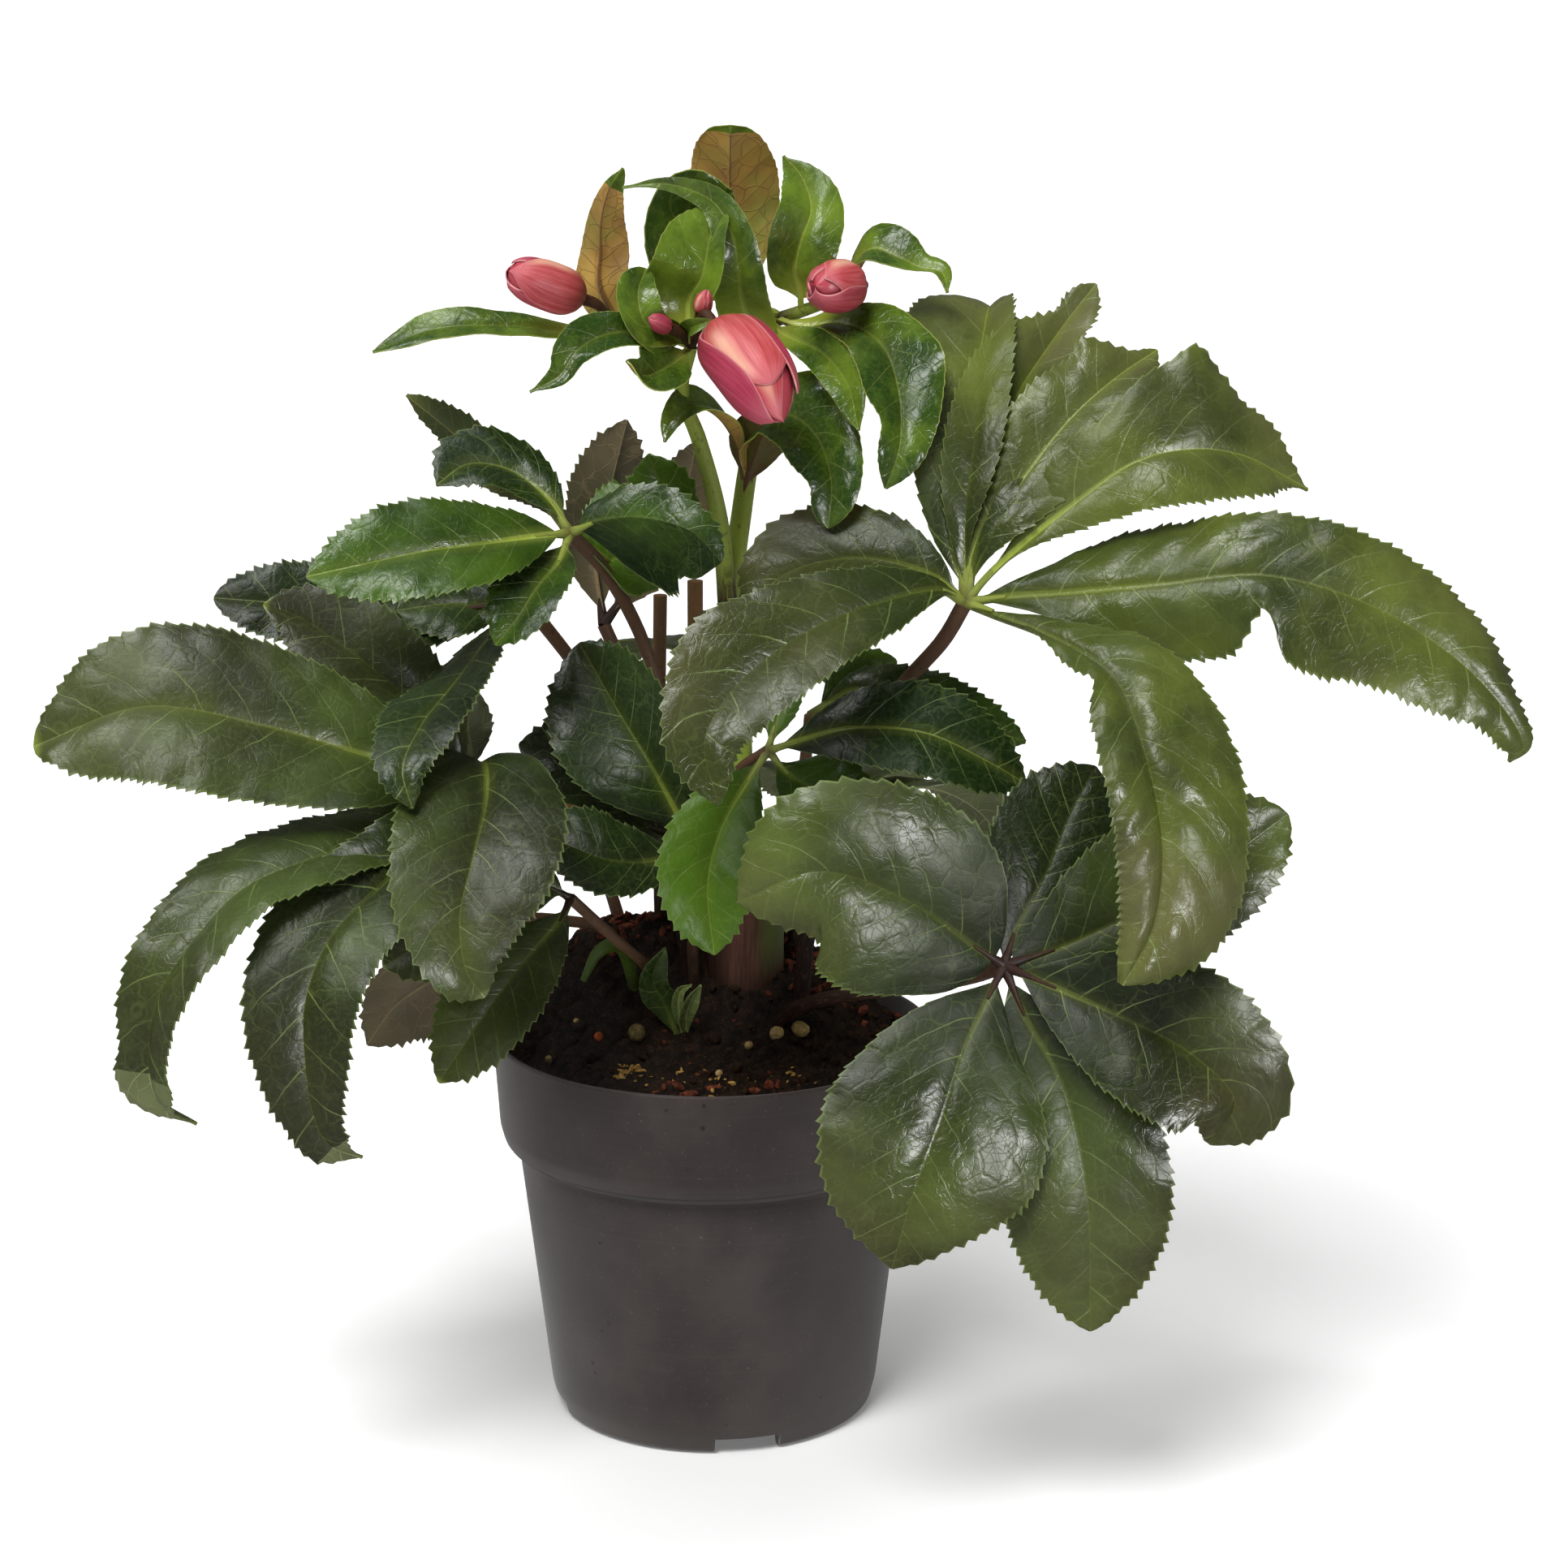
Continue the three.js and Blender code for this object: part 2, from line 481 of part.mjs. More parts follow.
// The blade's middle surface: a point at t along the rib and so far across, 1 at the right
// margin and -1 at the left.
function bladeSurface(start, leaflet, cells) {
  const { rib, width, face, fold = 10, twist = 0, wave = 1, widest = 0.56, skew = 0, blunt = 0.8 } = leaflet;
  const curve = smoothRoute([start, ...rib]);
  const bare = Math.min(7 / curve.getLength(), 0.14); // the leaflet's own short stalk
  const steps = cells * 2;
  const stations = stationsAlong(curve, steps, point(face));
  const lift = THREE.MathUtils.degToRad(fold);
  return (t, across) => {
    const place = Math.min(t * steps, steps - 1e-6);
    const i = Math.floor(place);
    const at = stations[i].at.clone().lerp(stations[i + 1].at, place - i);
    const forward = stations[i].forward.clone().lerp(stations[i + 1].forward, place - i).normalize();
    const normal = stations[i].normal.clone().lerp(stations[i + 1].normal, place - i).normalize();
    normal.applyAxisAngle(forward, THREE.MathUtils.degToRad(twist) * (t - 0.5));
    const side = new THREE.Vector3().crossVectors(forward, normal);
    const along = Math.max(0, (t - bare) / (1 - bare));
    const half = (width / 2) * bladeOutline(along, widest, blunt) * (1 + skew * Math.sign(across));
    const reach = Math.max(half, THREE.MathUtils.lerp(1.1, 0.5, t)) * Math.abs(across);
    const ripple = wave * Math.sin(2 * Math.PI * 1.6 * t + (across > 0 ? 0.6 : 2.4)) * across * across;
    at.addScaledVector(side, Math.sign(across) * reach * Math.cos(lift));
    at.addScaledVector(normal, reach * Math.sin(lift) - 0.006 * reach * reach + ripple * Math.min(1, reach / 8));
    return { at, normal, half };
  };
}

// A leaflet as a thin closed solid. Each cell along the rib ends in a tooth on either margin,
// and both faces are split into the same triangles.
function leafletSolid(start, leaflet) {
  const cells = leaflet.teeth;
  const surface = bladeSurface(start, leaflet, cells);
  const toothDepth = Math.min(2.2, leaflet.width * 0.06);
  const columns = leaflet.width >= WIDE_BLADE ? [1, 0.5, 0, -0.5, -1] : [1, 0, -1];
  const across = columns.length;
  const last = across - 1;

  const rows = [];
  for (let i = 0; i <= cells; i += 1) rows.push(columns.map((c) => surface(i / cells, c)));
  const tips = [];
  for (let i = 0; i < cells; i += 1) {
    const t = (i + 0.78) / cells;
    const grown = THREE.MathUtils.smoothstep(t, 0.15, 0.45) * (1 - 0.5 * THREE.MathUtils.smoothstep(t, 0.8, 1));
    const past = (side) => side * (1 + (toothDepth * grown) / Math.max(surface(t, side).half, 2));
    tips.push([surface(t, past(1)), surface(t, past(-1))]);
  }

  const positions = [];
  const addFace = (offset, ribOffset) => {
    const first = positions.length / 3;
    const put = ({ at, normal }, depth) => positions.push(...at.clone().addScaledVector(normal, depth));
    rows.forEach((row, i) =>
      row.forEach((sample, k) => {
        const onRib = columns[k] === 0 ? ribOffset * (1 - (0.8 * i) / cells) : 0;
        put(sample, offset + onRib);
      }),
    );
    tips.flat().forEach((sample) => put(sample, offset));
    return first;
  };
  const top = addFace(BLADE_THICKNESS / 2, 0);
  const bottom = addFace(-BLADE_THICKNESS / 2, -RIB_DEPTH * Math.min(1, leaflet.width / WIDE_BLADE));
  const rowAt = (i, k) => i * across + k;
  const tipAt = (i, k) => rows.length * across + i * 2 + k;

  const triangles = [];
  for (let i = 0; i < cells; i += 1) {
    for (let k = 1; k < last - 1; k += 1) {
      triangles.push([rowAt(i, k), rowAt(i + 1, k), rowAt(i + 1, k + 1)]);
      triangles.push([rowAt(i, k), rowAt(i + 1, k + 1), rowAt(i, k + 1)]);
    }
    const right = tipAt(i, 0);
    const left = tipAt(i, 1);
    triangles.push([rowAt(i, 0), right, rowAt(i, 1)]);
    triangles.push([right, rowAt(i + 1, 1), rowAt(i, 1)]);
    triangles.push([right, rowAt(i + 1, 0), rowAt(i + 1, 1)]);
    triangles.push([rowAt(i, last - 1), left, rowAt(i, last)]);
    triangles.push([rowAt(i, last - 1), rowAt(i + 1, last - 1), left]);
    triangles.push([rowAt(i + 1, last - 1), rowAt(i + 1, last), left]);
  }
  const indices = triangles.flatMap(([a, b, c]) => [top + a, top + b, top + c, bottom + a, bottom + c, bottom + b]);

  // The edge, all the way round, from the base up the right margin and back down the left.
  const rim = [];
  for (let i = 0; i < cells; i += 1) rim.push(rowAt(i, 0), tipAt(i, 0));
  for (let k = 0; k < across; k += 1) rim.push(rowAt(cells, k));
  for (let i = cells - 1; i >= 0; i -= 1) rim.push(tipAt(i, 1), rowAt(i, last));
  for (let k = last - 1; k > 0; k -= 1) rim.push(rowAt(0, k));
  rim.forEach((a, i) => {
    const b = rim[(i + 1) % rim.length];
    indices.push(top + a, bottom + a, bottom + b);
    indices.push(top + a, bottom + b, top + b);
  });
  return solidFromTriangles(positions, indices);
}

function knob(centre, radius) {
  const ball = new THREE.IcosahedronGeometry(radius, 0);
  ball.translate(...centre);
  return solidFromGeometry(ball);
}

function leafSolid({ stalk, stalkRadius, leaflets }) {
  const top = stalk[stalk.length - 1];
  const blades = leaflets.map((leaflet) => leafletSolid(top, leaflet));
  return join([taperedStalk(stalk, stalkRadius), knob(top, stalkRadius[1] * 1.35), ...blades]);
}

// A bud: sepals wrapped round one another, each margin standing a little over the next.
function budSolid({ base, tip, radius, sepals, fineness }) {
  const rings = 2 * fineness - 1;
  const sides = sepals * fineness;
  const axis = point(tip).sub(point(base));
  const length = axis.length();
  const turn = new THREE.Quaternion().setFromUnitVectors(new THREE.Vector3(0, 0, 1), axis.normalize());
  const positions = [];
  const indices = [];
  const place = (x, y, z) => positions.push(...new THREE.Vector3(x, y, z).applyQuaternion(turn).add(point(base)));
  for (let i = 0; i <= rings; i += 1) {
    const t = i / rings;
    const full = Math.pow(Math.sin(Math.PI * Math.pow(0.06 + 0.9 * t, 0.85)), 0.62);
    const swell = full * (1 - 0.15 * THREE.MathUtils.smoothstep(t, 0.55, 1));
    for (let k = 0; k < sides; k += 1) {
      const lap = ((k / sides) * sepals) % 1;
      const reach = radius * swell * (1 + 0.12 * (lap - 0.5) * Math.sin(Math.PI * t));
      const angle = ((k + 1.2 * t) / sides) * 2 * Math.PI;
      place(reach * Math.cos(angle), reach * Math.sin(angle), t * length);
    }
  }
  place(0, 0, 0);
  place(0, 0, length);
  const foot = (rings + 1) * sides;
  for (let k = 0; k < sides; k += 1) {
    const next = (k + 1) % sides;
    for (let i = 0; i < rings; i += 1) {
      const a = i * sides;
      const b = a + sides;
      indices.push(a + k, a + next, b + k, a + next, b + next, b + k);
    }
    indices.push(foot, next, k);
    indices.push(foot + 1, rings * sides + k, rings * sides + next);
  }
  return solidFromTriangles(positions, indices);
}

function latheSolid(profile, sides) {
  const geometry = new THREE.LatheGeometry(profile.map(([r, z]) => new THREE.Vector2(r, z)), sides);
  geometry.rotateX(Math.PI / 2);
  return solidFromGeometry(geometry);
}

// The sheath is a cup that flares a little at its lip.
function sheathSolid() {
  const step = SHEATH_HEIGHT / (SHEATH_RADII.length - 1);
  const outside = SHEATH_RADII.map((radius, i) => [radius, i * step]);
  const inside = [
    [SHEATH_RADII[3] - 1.6, SHEATH_HEIGHT],
    [SHEATH_RADII[2] - 3, SHEATH_HEIGHT - 12],
    [0, SHEATH_HEIGHT - 14],
  ];
  const cup = latheSolid([[0, 0], ...outside, ...inside], SHEATH_SIDES);
  return cup.translate([...SHEATH_FOOT, SHEATH_BOTTOM]);
}

// A bud's stalk bends over and stops just short of the bud's base.
function budStalk({ from, base, tip }) {
  const axis = point(tip).sub(point(base)).normalize();
  const bend = point(base).addScaledVector(axis, -BUD_STALK_BEND);
  const end = point(base).addScaledVector(axis, -FIT_GAP);
  const radii = [BUD_STALK_RADIUS, BUD_STALK_RADIUS];
  return taperedStalk([from, bend.toArray(), end.toArray()], radii);
}

function floweringStemSolid() {
  const axes = STEM_AXES.map(({ route, radius }) => taperedStalk(route, radius));
  axes.push(...Object.values(BUDS).map(budStalk));
  const bracts = BRACTS.map(({ from, ...bract }) => leafletSolid(from, { fold: 14, teeth: 4, ...bract }));
  return join([...axes, sheathSolid(), ...bracts]);
}

// ---- Pot

function potProfile() {
  const innerBand = BAND_RADIUS - WALL_THICKNESS;
  const innerWall = WALL_TOP_RADIUS - WALL_THICKNESS;
  const innerFoot = WALL_FOOT_RADIUS - WALL_THICKNESS;
  const ringInner = FOOT_RADIUS - FOOT_RING_WIDTH;
  return [
    [0, 0],
    [CENTRE_PAD_RADIUS, 0],
    [CENTRE_PAD_RADIUS + 1, FLOOR_RISE],
    [ringInner - 1, FLOOR_RISE],
    [ringInner, 0],
    [FOOT_RADIUS, 0],
    [FOOT_RADIUS + 2.4, 1.4],
    [WALL_FOOT_RADIUS, 8],
    [WALL_TOP_RADIUS, BAND_BOTTOM],
    [BAND_RADIUS - 1.4, BAND_BOTTOM + 3],
    [BAND_RADIUS, BAND_BOTTOM + 8],
    [RIM_RADIUS, POT_HEIGHT - 0.6],
    [RIM_RADIUS - 0.4, POT_HEIGHT],
    [RIM_RADIUS - RIM_LIP, POT_HEIGHT],
    [innerBand, BAND_BOTTOM + 9],
    [innerWall, BAND_BOTTOM + 1.8],
    [innerFoot, FLOOR_TOP + 2],
    [innerFoot - 1.6, FLOOR_TOP],
    [0, FLOOR_TOP],
  ];
}

function potSolid() {
  let pot = latheSolid(potProfile(), POT_SIDES);
  for (let i = 0; i < NOTCH_COUNT; i += 1) {
    const angle = THREE.MathUtils.degToRad(FIRST_NOTCH_ANGLE + (i * 360) / NOTCH_COUNT);
    const notch = new THREE.BoxGeometry(14, NOTCH_WIDTH, 2 * (FLOOR_RISE - 0.4));
    notch.translate(FOOT_RADIUS - 1, 0, 0);
    notch.rotateZ(angle);
    pot = pot.subtract(solidFromGeometry(notch));
    const hole = new THREE.CylinderGeometry(DRAIN_HOLE_RADIUS, DRAIN_HOLE_RADIUS, 12, 10);
    hole.rotateX(Math.PI / 2);
    hole.translate(DRAIN_HOLE_RING, 0, FLOOR_TOP);
    hole.rotateZ(angle + Math.PI / NOTCH_COUNT);
    pot = pot.subtract(solidFromGeometry(hole));
  }
  return pot;
}

// ---- Soil

function soilHeight(x, y) {
  const [centreX, centreY] = ROOT_BALL_CENTRE;
  const [reachX, reachY] = ROOT_BALL_REACH;
  const fall = Math.pow((x - centreX) / reachX, 4) + Math.pow((y - centreY) / reachY, 2);
  const crumbs = 1.1 * Math.sin(x * 0.42 + 1.3) * Math.cos(y * 0.37) + 0.7 * Math.sin((x - y) * 0.81);
  const edge = 1 - THREE.MathUtils.smoothstep(Math.hypot(x, y), 56, 65);
  return SOIL_EDGE_LEVEL + (ROOT_BALL_RISE * Math.exp(-fall) + crumbs) * edge;
}

// The soil fills the pot: rings of points down the wall, across the top, and one under the floor.
function soilSolid(holes) {
  const sides = 28;
  const innerWall = WALL_TOP_RADIUS - WALL_THICKNESS;
  const innerFoot = WALL_FOOT_RADIUS - WALL_THICKNESS;
  const innerBand = BAND_RADIUS - WALL_THICKNESS;
  const wallRings = [
    [innerFoot - 1.6 - FIT_GAP, FLOOR_TOP + FIT_GAP],
    [innerFoot - FIT_GAP, FLOOR_TOP + 2.4],
    [innerWall - FIT_GAP, BAND_BOTTOM + 2.2],
    [innerBand - 2 * FIT_GAP, BAND_BOTTOM + 9.4],
    [innerBand - 2 * FIT_GAP, SOIL_EDGE_LEVEL],
  ];
  const topRadii = [58, 46, 35, 24, 12];
  const positions = [0, 0, FLOOR_TOP + FIT_GAP];
  const indices = [];
  const rings = [];
  const addRing = (radius, heightAt) => {
    rings.push(positions.length / 3);
    for (let k = 0; k < sides; k += 1) {
      const angle = (k / sides) * 2 * Math.PI;
      const x = radius * Math.cos(angle);
      const y = radius * Math.sin(angle);
      positions.push(x, y, heightAt(x, y));
    }
  };
  wallRings.forEach(([radius, z]) => addRing(radius, () => z));
  topRadii.forEach((radius) => addRing(radius, soilHeight));
  const summit = positions.length / 3;
  positions.push(0, 0, soilHeight(0, 0));
  for (let k = 0; k < sides; k += 1) {
    const next = (k + 1) % sides;
    indices.push(0, rings[0] + next, rings[0] + k);
    for (let i = 0; i < rings.length - 1; i += 1) {
      const [a, b] = [rings[i], rings[i + 1]];
      indices.push(a + k, a + next, b + next, a + k, b + next, b + k);
    }
    const inner = rings[rings.length - 1];
    indices.push(inner + k, inner + next, summit);
  }
  const block = solidFromTriangles(positions, indices);
  const soil = holes.reduce((rest, hole) => rest.subtract(hole), block);
  return soil.asOriginal().simplify(JOIN_TOLERANCE);
}

// The hole that a stalk stands in: a wider stalk on the same route, from a little deeper.
function stalkHole({ route, radius }) {
  const [foot, ...rest] = route;
  return taperedStalk([[foot[0], foot[1], foot[2] - 1.5], ...rest], radius, HOLE_CLEARANCE);
}

// ---- The assembled plant

const plant = new THREE.Group();

function addPiece(name, solid, colour, roughness = 0.5) {
  const material = new THREE.MeshStandardMaterial({ color: colour, roughness, metalness: 0 });
  plant.add(meshFromSolid(name, solid, material));
}

const stalks = [
  ...Object.values(LEAVES).map(({ stalk, stalkRadius }) => ({ route: stalk, radius: stalkRadius })),
  { route: SPROUT.stalk, radius: SPROUT.stalkRadius },
  ...Object.values(CUT_STALKS),
  SHOOT,
];
const sheathHole = new THREE.CylinderGeometry(SHEATH_RADII[1] + 1, SHEATH_RADII[1] + 1, 60, SHEATH_SIDES);
sheathHole.rotateX(Math.PI / 2);
sheathHole.translate(...SHEATH_FOOT, SHEATH_BOTTOM + 29);

addPiece("pot", potSolid(), POT_GREY, 0.6);
addPiece("soil", soilSolid([...stalks.map(stalkHole), solidFromGeometry(sheathHole)]), SOIL_BROWN, 0.95);
for (const [name, leaf] of Object.entries(LEAVES)) addPiece(name, leafSolid(leaf), leaf.colour, 0.45);
addPiece("flowering_stem", floweringStemSolid(), BRACT_GREEN, 0.45);
for (const [name, bud] of Object.entries(BUDS)) addPiece(name, budSolid(bud), BUD_PINK, 0.5);
for (const [name, { route, radius }] of Object.entries(CUT_STALKS)) {
  addPiece(name, taperedStalk(route, radius), DRY_BROWN, 0.8);
}
addPiece("sprout", leafSolid(SPROUT), SPROUT.colour, 0.45);
addPiece("shoot", taperedStalk(SHOOT.route, SHOOT.radius), YOUNG_GREEN, 0.5);

export default plant;
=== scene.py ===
"""The looks of a potted hellebore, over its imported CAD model.

Every leaf, bract, bud and stalk is built again here, much finer, on the CAD's routes, mended where the
photo shows more, and so are the pot and the soil. Lengths are in millimetres until a mesh is made.
"""

import math
import random
from functools import partialmethod
from types import SimpleNamespace

import bmesh
import bpy
import numpy as np
from mathutils import Matrix, Vector, noise


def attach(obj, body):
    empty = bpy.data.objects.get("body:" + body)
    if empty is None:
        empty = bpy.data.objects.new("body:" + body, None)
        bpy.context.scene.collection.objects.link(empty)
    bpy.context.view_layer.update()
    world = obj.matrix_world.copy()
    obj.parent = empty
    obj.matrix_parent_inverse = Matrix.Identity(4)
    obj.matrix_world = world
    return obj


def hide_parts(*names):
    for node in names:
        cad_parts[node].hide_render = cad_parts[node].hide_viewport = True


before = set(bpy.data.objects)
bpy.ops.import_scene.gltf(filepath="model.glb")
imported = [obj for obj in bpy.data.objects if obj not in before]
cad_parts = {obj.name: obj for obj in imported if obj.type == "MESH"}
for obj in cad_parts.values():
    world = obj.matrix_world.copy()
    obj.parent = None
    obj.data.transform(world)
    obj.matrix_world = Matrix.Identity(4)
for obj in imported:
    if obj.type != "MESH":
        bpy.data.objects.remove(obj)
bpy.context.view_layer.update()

MM = 0.001
FULL_TURN = 2 * math.pi
rng = random.Random(7)

# ---- The plant


def leaflet(width, face, *rib, **more):
    """A blade: its width, the way its upper face looks, its rib's points, and more for add_leaflet."""
    return dict(more, width=width, face=face, rib=rib)


# Each leaf: its slot, its stalk's radii at the foot and the top, the stalk's route, and its leaflets.
LEAVES = {
    "leaf_upper_right": ("leaf_green", (2.8, 2.2), [(28, -12, 118), (29, -15, 150), (38, -20, 208),
            (58, -32, 243), (71, -42, 261), (77, -46, 273)], [
        leaflet(38, (-0.25, -1, 0.25), (75, -42, 295), (78, -36, 316), (81, -22, 338), (85, 0, 354),
            (87, 16, 353), folds=(24, 30), ends=(0.5, 0.8), skew=-0.3, rib_light=0.9, tint=0.3,
            lobes=[(-1, 0.93, 0.05, 0.35, 0)]),
        leaflet(35, (-0.2, -1, 0.3), (78, -45, 288), (82, -38, 309), (91, -26, 329), (105, -8, 347),
            (118, 2, 362), folds=(26, 24), rib_light=0.9,
            lobes=[(-1, 0.87, 0.07, 0.55, 0), (1, 0.84, 0.06, 0.3, 0)]),
        leaflet(32, (-0.3, -0.9, 0.5), (81, -46, 291), (94, -43, 310), (108, -38, 327), (122, -30, 338),
            (135, -20, 345), folds=(12, 12), rib_light=0.9, lobes=[(-1, 0.84, 0.05, -0.35, 3),
            (-1, 0.95, 0.05, 0.4, 0), (1, 0.7, 0.06, 0.3, -2)]),
        leaflet(46, (0, -0.8, 0.6), (85, -48, 283), (105, -51, 301), (127, -53, 317), (144, -50, 320),
            (159, -44, 317), (170, -38, 311), (180, -34, 305), folds=(18, 6), widest=0.62, blunt=1.45,
            skew=-0.24, rib_light=1.0, lobes=[(-1, 0.5, 0.09, 0.34, -1), (-1, 0.69, 0.035, -0.14, 4),
            (-1, 0.8, 0.04, 0.15, -2), (1, 0.85, 0.06, -0.2, 3)]),
        leaflet(42, (0, -0.75, 0.65), (89, -52, 276), (108, -60, 279), (133, -68, 283), (163, -74, 287),
            (196, -80, 278), (225, -84, 258), (239, -84, 238), (236, -80, 232), folds=(6, -14), skew=0.06,
            wave=3, relief=1.2, rib_light=0.3, tint=0.48, lobes=[(-1, 0.2, 0.16, -0.6, 1),
            (1, 0.3, 0.09, -0.12, -4), (1, 0.475, 0.035, 0.5, 5), (1, 0.6, 0.06, -0.05, -2),
            (1, 0.9, 0.06, 0.3, 0), (-1, 0.92, 0.07, 0.35, 0)]),
        leaflet(40, (0.2, -0.95, 0.3), (85, -54, 272), (102, -72, 270), (121, -96, 263), (129, -112, 245),
            (133, -124, 219), (129, -132, 198), (119, -136, 181), folds=(2, 22), widest=0.64, skew=-0.2,
            twist=20, shift=4, relief=2.0, rib_light=0.2, tint=0.5, lobes=[(1, 0.42, 0.04, 0.3, 4),
            (1, 0.25, 0.08, -0.1, 4), (-1, 0.6, 0.25, -0.15, 0), (-1, 0.9, 0.12, -0.3, -2),
            (1, 0.85, 0.2, 0, -6)]),
        leaflet(36, (-0.1, -0.8, 0.6), (70, -52, 278), (50, -66, 277), (27, -80, 270), (8, -92, 257),
            (0, -102, 244), (4, -110, 227), folds=(16, 18), rib_light=0.12, tint=0.1,
            lobes=[(1, 0.66, 0.12, -0.25, 0)]),
        leaflet(36, (0, -0.75, 0.65), (69, -46, 280), (53, -42, 285), (36, -38, 284), (21, -36, 278),
            (13, -38, 266), folds=(18, 16), rib_light=0.3, tint=0.0),
    ]),
    "leaf_lower_right": ("leaf_green", (2.6, 2.0), [(20, -20, 118), (22, -21, 134), (31, -29, 142),
            (48, -40, 149), (66, -56, 156), (80, -84, 168), (87, -100, 176)], [
        leaflet(62, (0.05, -1, 0.25), (78, -103, 183), (59, -108, 198), (33, -112, 208), (9, -110, 198),
            folds=(8, 14), widest=0.45, relief=0.8, bare=4, rib_light=0.12, tint=0.75,
            lobes=[(-1, 0.8, 0.2, 0, -7), (1, 0.8, 0.2, 0, -5)]),
        leaflet(40, (0.1, -1, 0.2), (90, -97, 185), (99, -90, 200), (107, -80, 217), (115, -72, 229),
            folds=(4, 6), bare=2, rib_light=0.12, tint=-0.3),
        leaflet(44, (0.1, -1, 0.3), (102, -97, 180), (126, -92, 190), (150, -88, 203), (171, -82, 217),
            blunt=0.65, skew=-0.14, bare=2, rib_light=0.12, tint=0.5),
        leaflet(48, (0.2, -0.95, 0.3), (102, -106, 171), (122, -114, 164), (141, -120, 155), (153, -122, 142),
            (147, -118, 127), folds=(20, 16), rib_light=0.25, tint=0.3, lobes=[(-1, 0.3, 0.12, 0.05, 5)]),
        leaflet(50, (0, -1, 0.1), (93, -104, 162), (104, -112, 143), (111, -120, 113), (113, -118, 69),
            folds=(8, 8), rib_light=0.12, tint=0.45),
        leaflet(66, (0, -1, 0.15), (82, -107, 168), (75, -116, 156), (68, -126, 137), (60, -132, 117),
            (54, -132, 94), folds=(2, 6), blunt=0.95, relief=0.9, rib_light=0.15, tint=0.4),
    ]),
    "leaf_left": ("leaf_green", (2.6, 2.0), [(-8, -6, 118), (-8, -8, 150), (-14, -18, 180), (-30, -28, 199),
            (-54, -44, 211), (-72, -58, 222)], [
        leaflet(55, (0, -0.75, 0.65), (-83, -62, 225), (-101, -70, 232), (-129, -76, 242), (-164, -80, 249),
            (-198, -76, 236), folds=(14, 10), blunt=0.62, rib_light=0.45, tint=0.4,
            lobes=[(1, 0.93, 0.03, 0.15, 0), (-1, 0.95, 0.03, 0.1, 2)]),
        leaflet(36, (-0.4, -0.6, 0.7), (-94, -76, 209), (-114, -90, 206), (-134, -102, 200),
            (-147, -112, 188), (-157, -118, 173), (-161, -118, 154), (-159, -116, 140), (-149, -112, 131),
            folds=(16, 16), widest=0.42, blunt=0.95, rib_light=0.15, tint=0.5, turned=0.86,
            lobes=[(-1, 0.9, 0.05, -0.9, 1), (1, 0.9, 0.05, -0.9, 1)]),
        leaflet(39, (-0.2, -0.95, 0.3), (-90, -92, 203), (-108, -110, 188), (-115, -120, 171),
            (-115, -124, 154), (-113, -124, 138), (-109, -121, 128), (-100, -118, 123), folds=(20, 14),
            widest=0.46, blunt=1.0, rib_light=0.2, tint=0.1, turned=0.93,
            lobes=[(-1, 0.94, 0.04, -0.5, 0), (1, 0.94, 0.04, -0.5, 0)]),
        leaflet(52, (0.05, -1, 0.25), (-67, -64, 228), (-65, -80, 221), (-68, -98, 207), (-71, -108, 193),
            (-69, -114, 179), (-64, -112, 170), folds=(18, 20), widest=0.42, rib_light=0.3, tint=0.3,
            turned=0.975),
        leaflet(35, (0.2, -0.8, 0.6), (-76, -46, 227), (-91, -38, 241), (-108, -32, 254), (-125, -29, 265),
            (-135, -30, 269), folds=(20, 24), relief=0.4, rib_light=0.15, tint=0.0),
        leaflet(14, (0, 0.9, 0.2), (-71, -56, 228), (-72, -50, 237), (-70, -46, 246)),
        leaflet(10, (0, -1, 0.3), (-76, -58, 226), (-81, -56, 235), (-84, -55, 239)),
    ]),
    "leaf_upper_left": ("leaf_bright", (2.6, 2.0), [(-12, 4, 118), (-11, 4, 150), (-10, 1, 200),
            (-20, -4, 249), (-32, -14, 276), (-42, -25, 290)], [
        leaflet(33, (0, -0.8, 0.6), (-52, -36, 291), (-66, -46, 291), (-84, -54, 290), (-103, -60, 287),
            (-118, -62, 284), folds=(14, 12), rib_light=1.0, tint=0.7),
        leaflet(24, (0.1, -0.6, 0.8), (-48, -22, 299), (-61, -17, 308), (-73, -19, 310), (-82, -26, 305),
            folds=(18, 14), rib_light=0.7, tint=0.1),
        leaflet(17, (0.4, 0.9, 0.2), (-55, -8, 301), (-69, 2, 307), (-80, 8, 316), (-94, 14, 326)),
        leaflet(24, (-0.3, -0.9, 0.3), (-45, -34, 283), (-51, -44, 277), (-57, -52, 269), (-63, -56, 262),
            folds=(26, 20), rib_light=0.6),
        leaflet(36, (0, -0.6, 0.8), (-35, -30, 294), (-20, -38, 297), (-5, -44, 294), (4, -46, 285),
            folds=(30, -88), ends=(0.6, 0.35), widest=0.4, blunt=0.6, skew=0.42, relief=0.3, rib_light=0.1,
            tint=0.0),
        leaflet(34, (0, -0.9, 0.4), (-31, -4, 277), (-22, 4, 286), (-16, 6, 298), (-19, 4, 309)),
    ]),
    "leaf_inner_left": ("leaf_inner", (2.4, 1.8), [(-5, -8, 118), (-6, -12, 160), (-6, -25, 194)], [
        leaflet(43, (-0.1, -1, 0.2), (-10, -28, 203), (-18, -30, 219), (-29, -27, 237), (-40, -16, 254),
            folds=(22, 30), skew=-0.12, rib_light=0.5, tint=0.7),
        leaflet(27, (0, -0.8, 0.6), (-16, -34, 190), (-31, -42, 192), (-45, -48, 199), (-56, -50, 202),
            folds=(16, 16), rib_light=0.2),
        leaflet(28, (0, -0.9, 0.4), (-19, -16, 195), (-34, -12, 207), (-47, -8, 216), (-60, -4, 219),
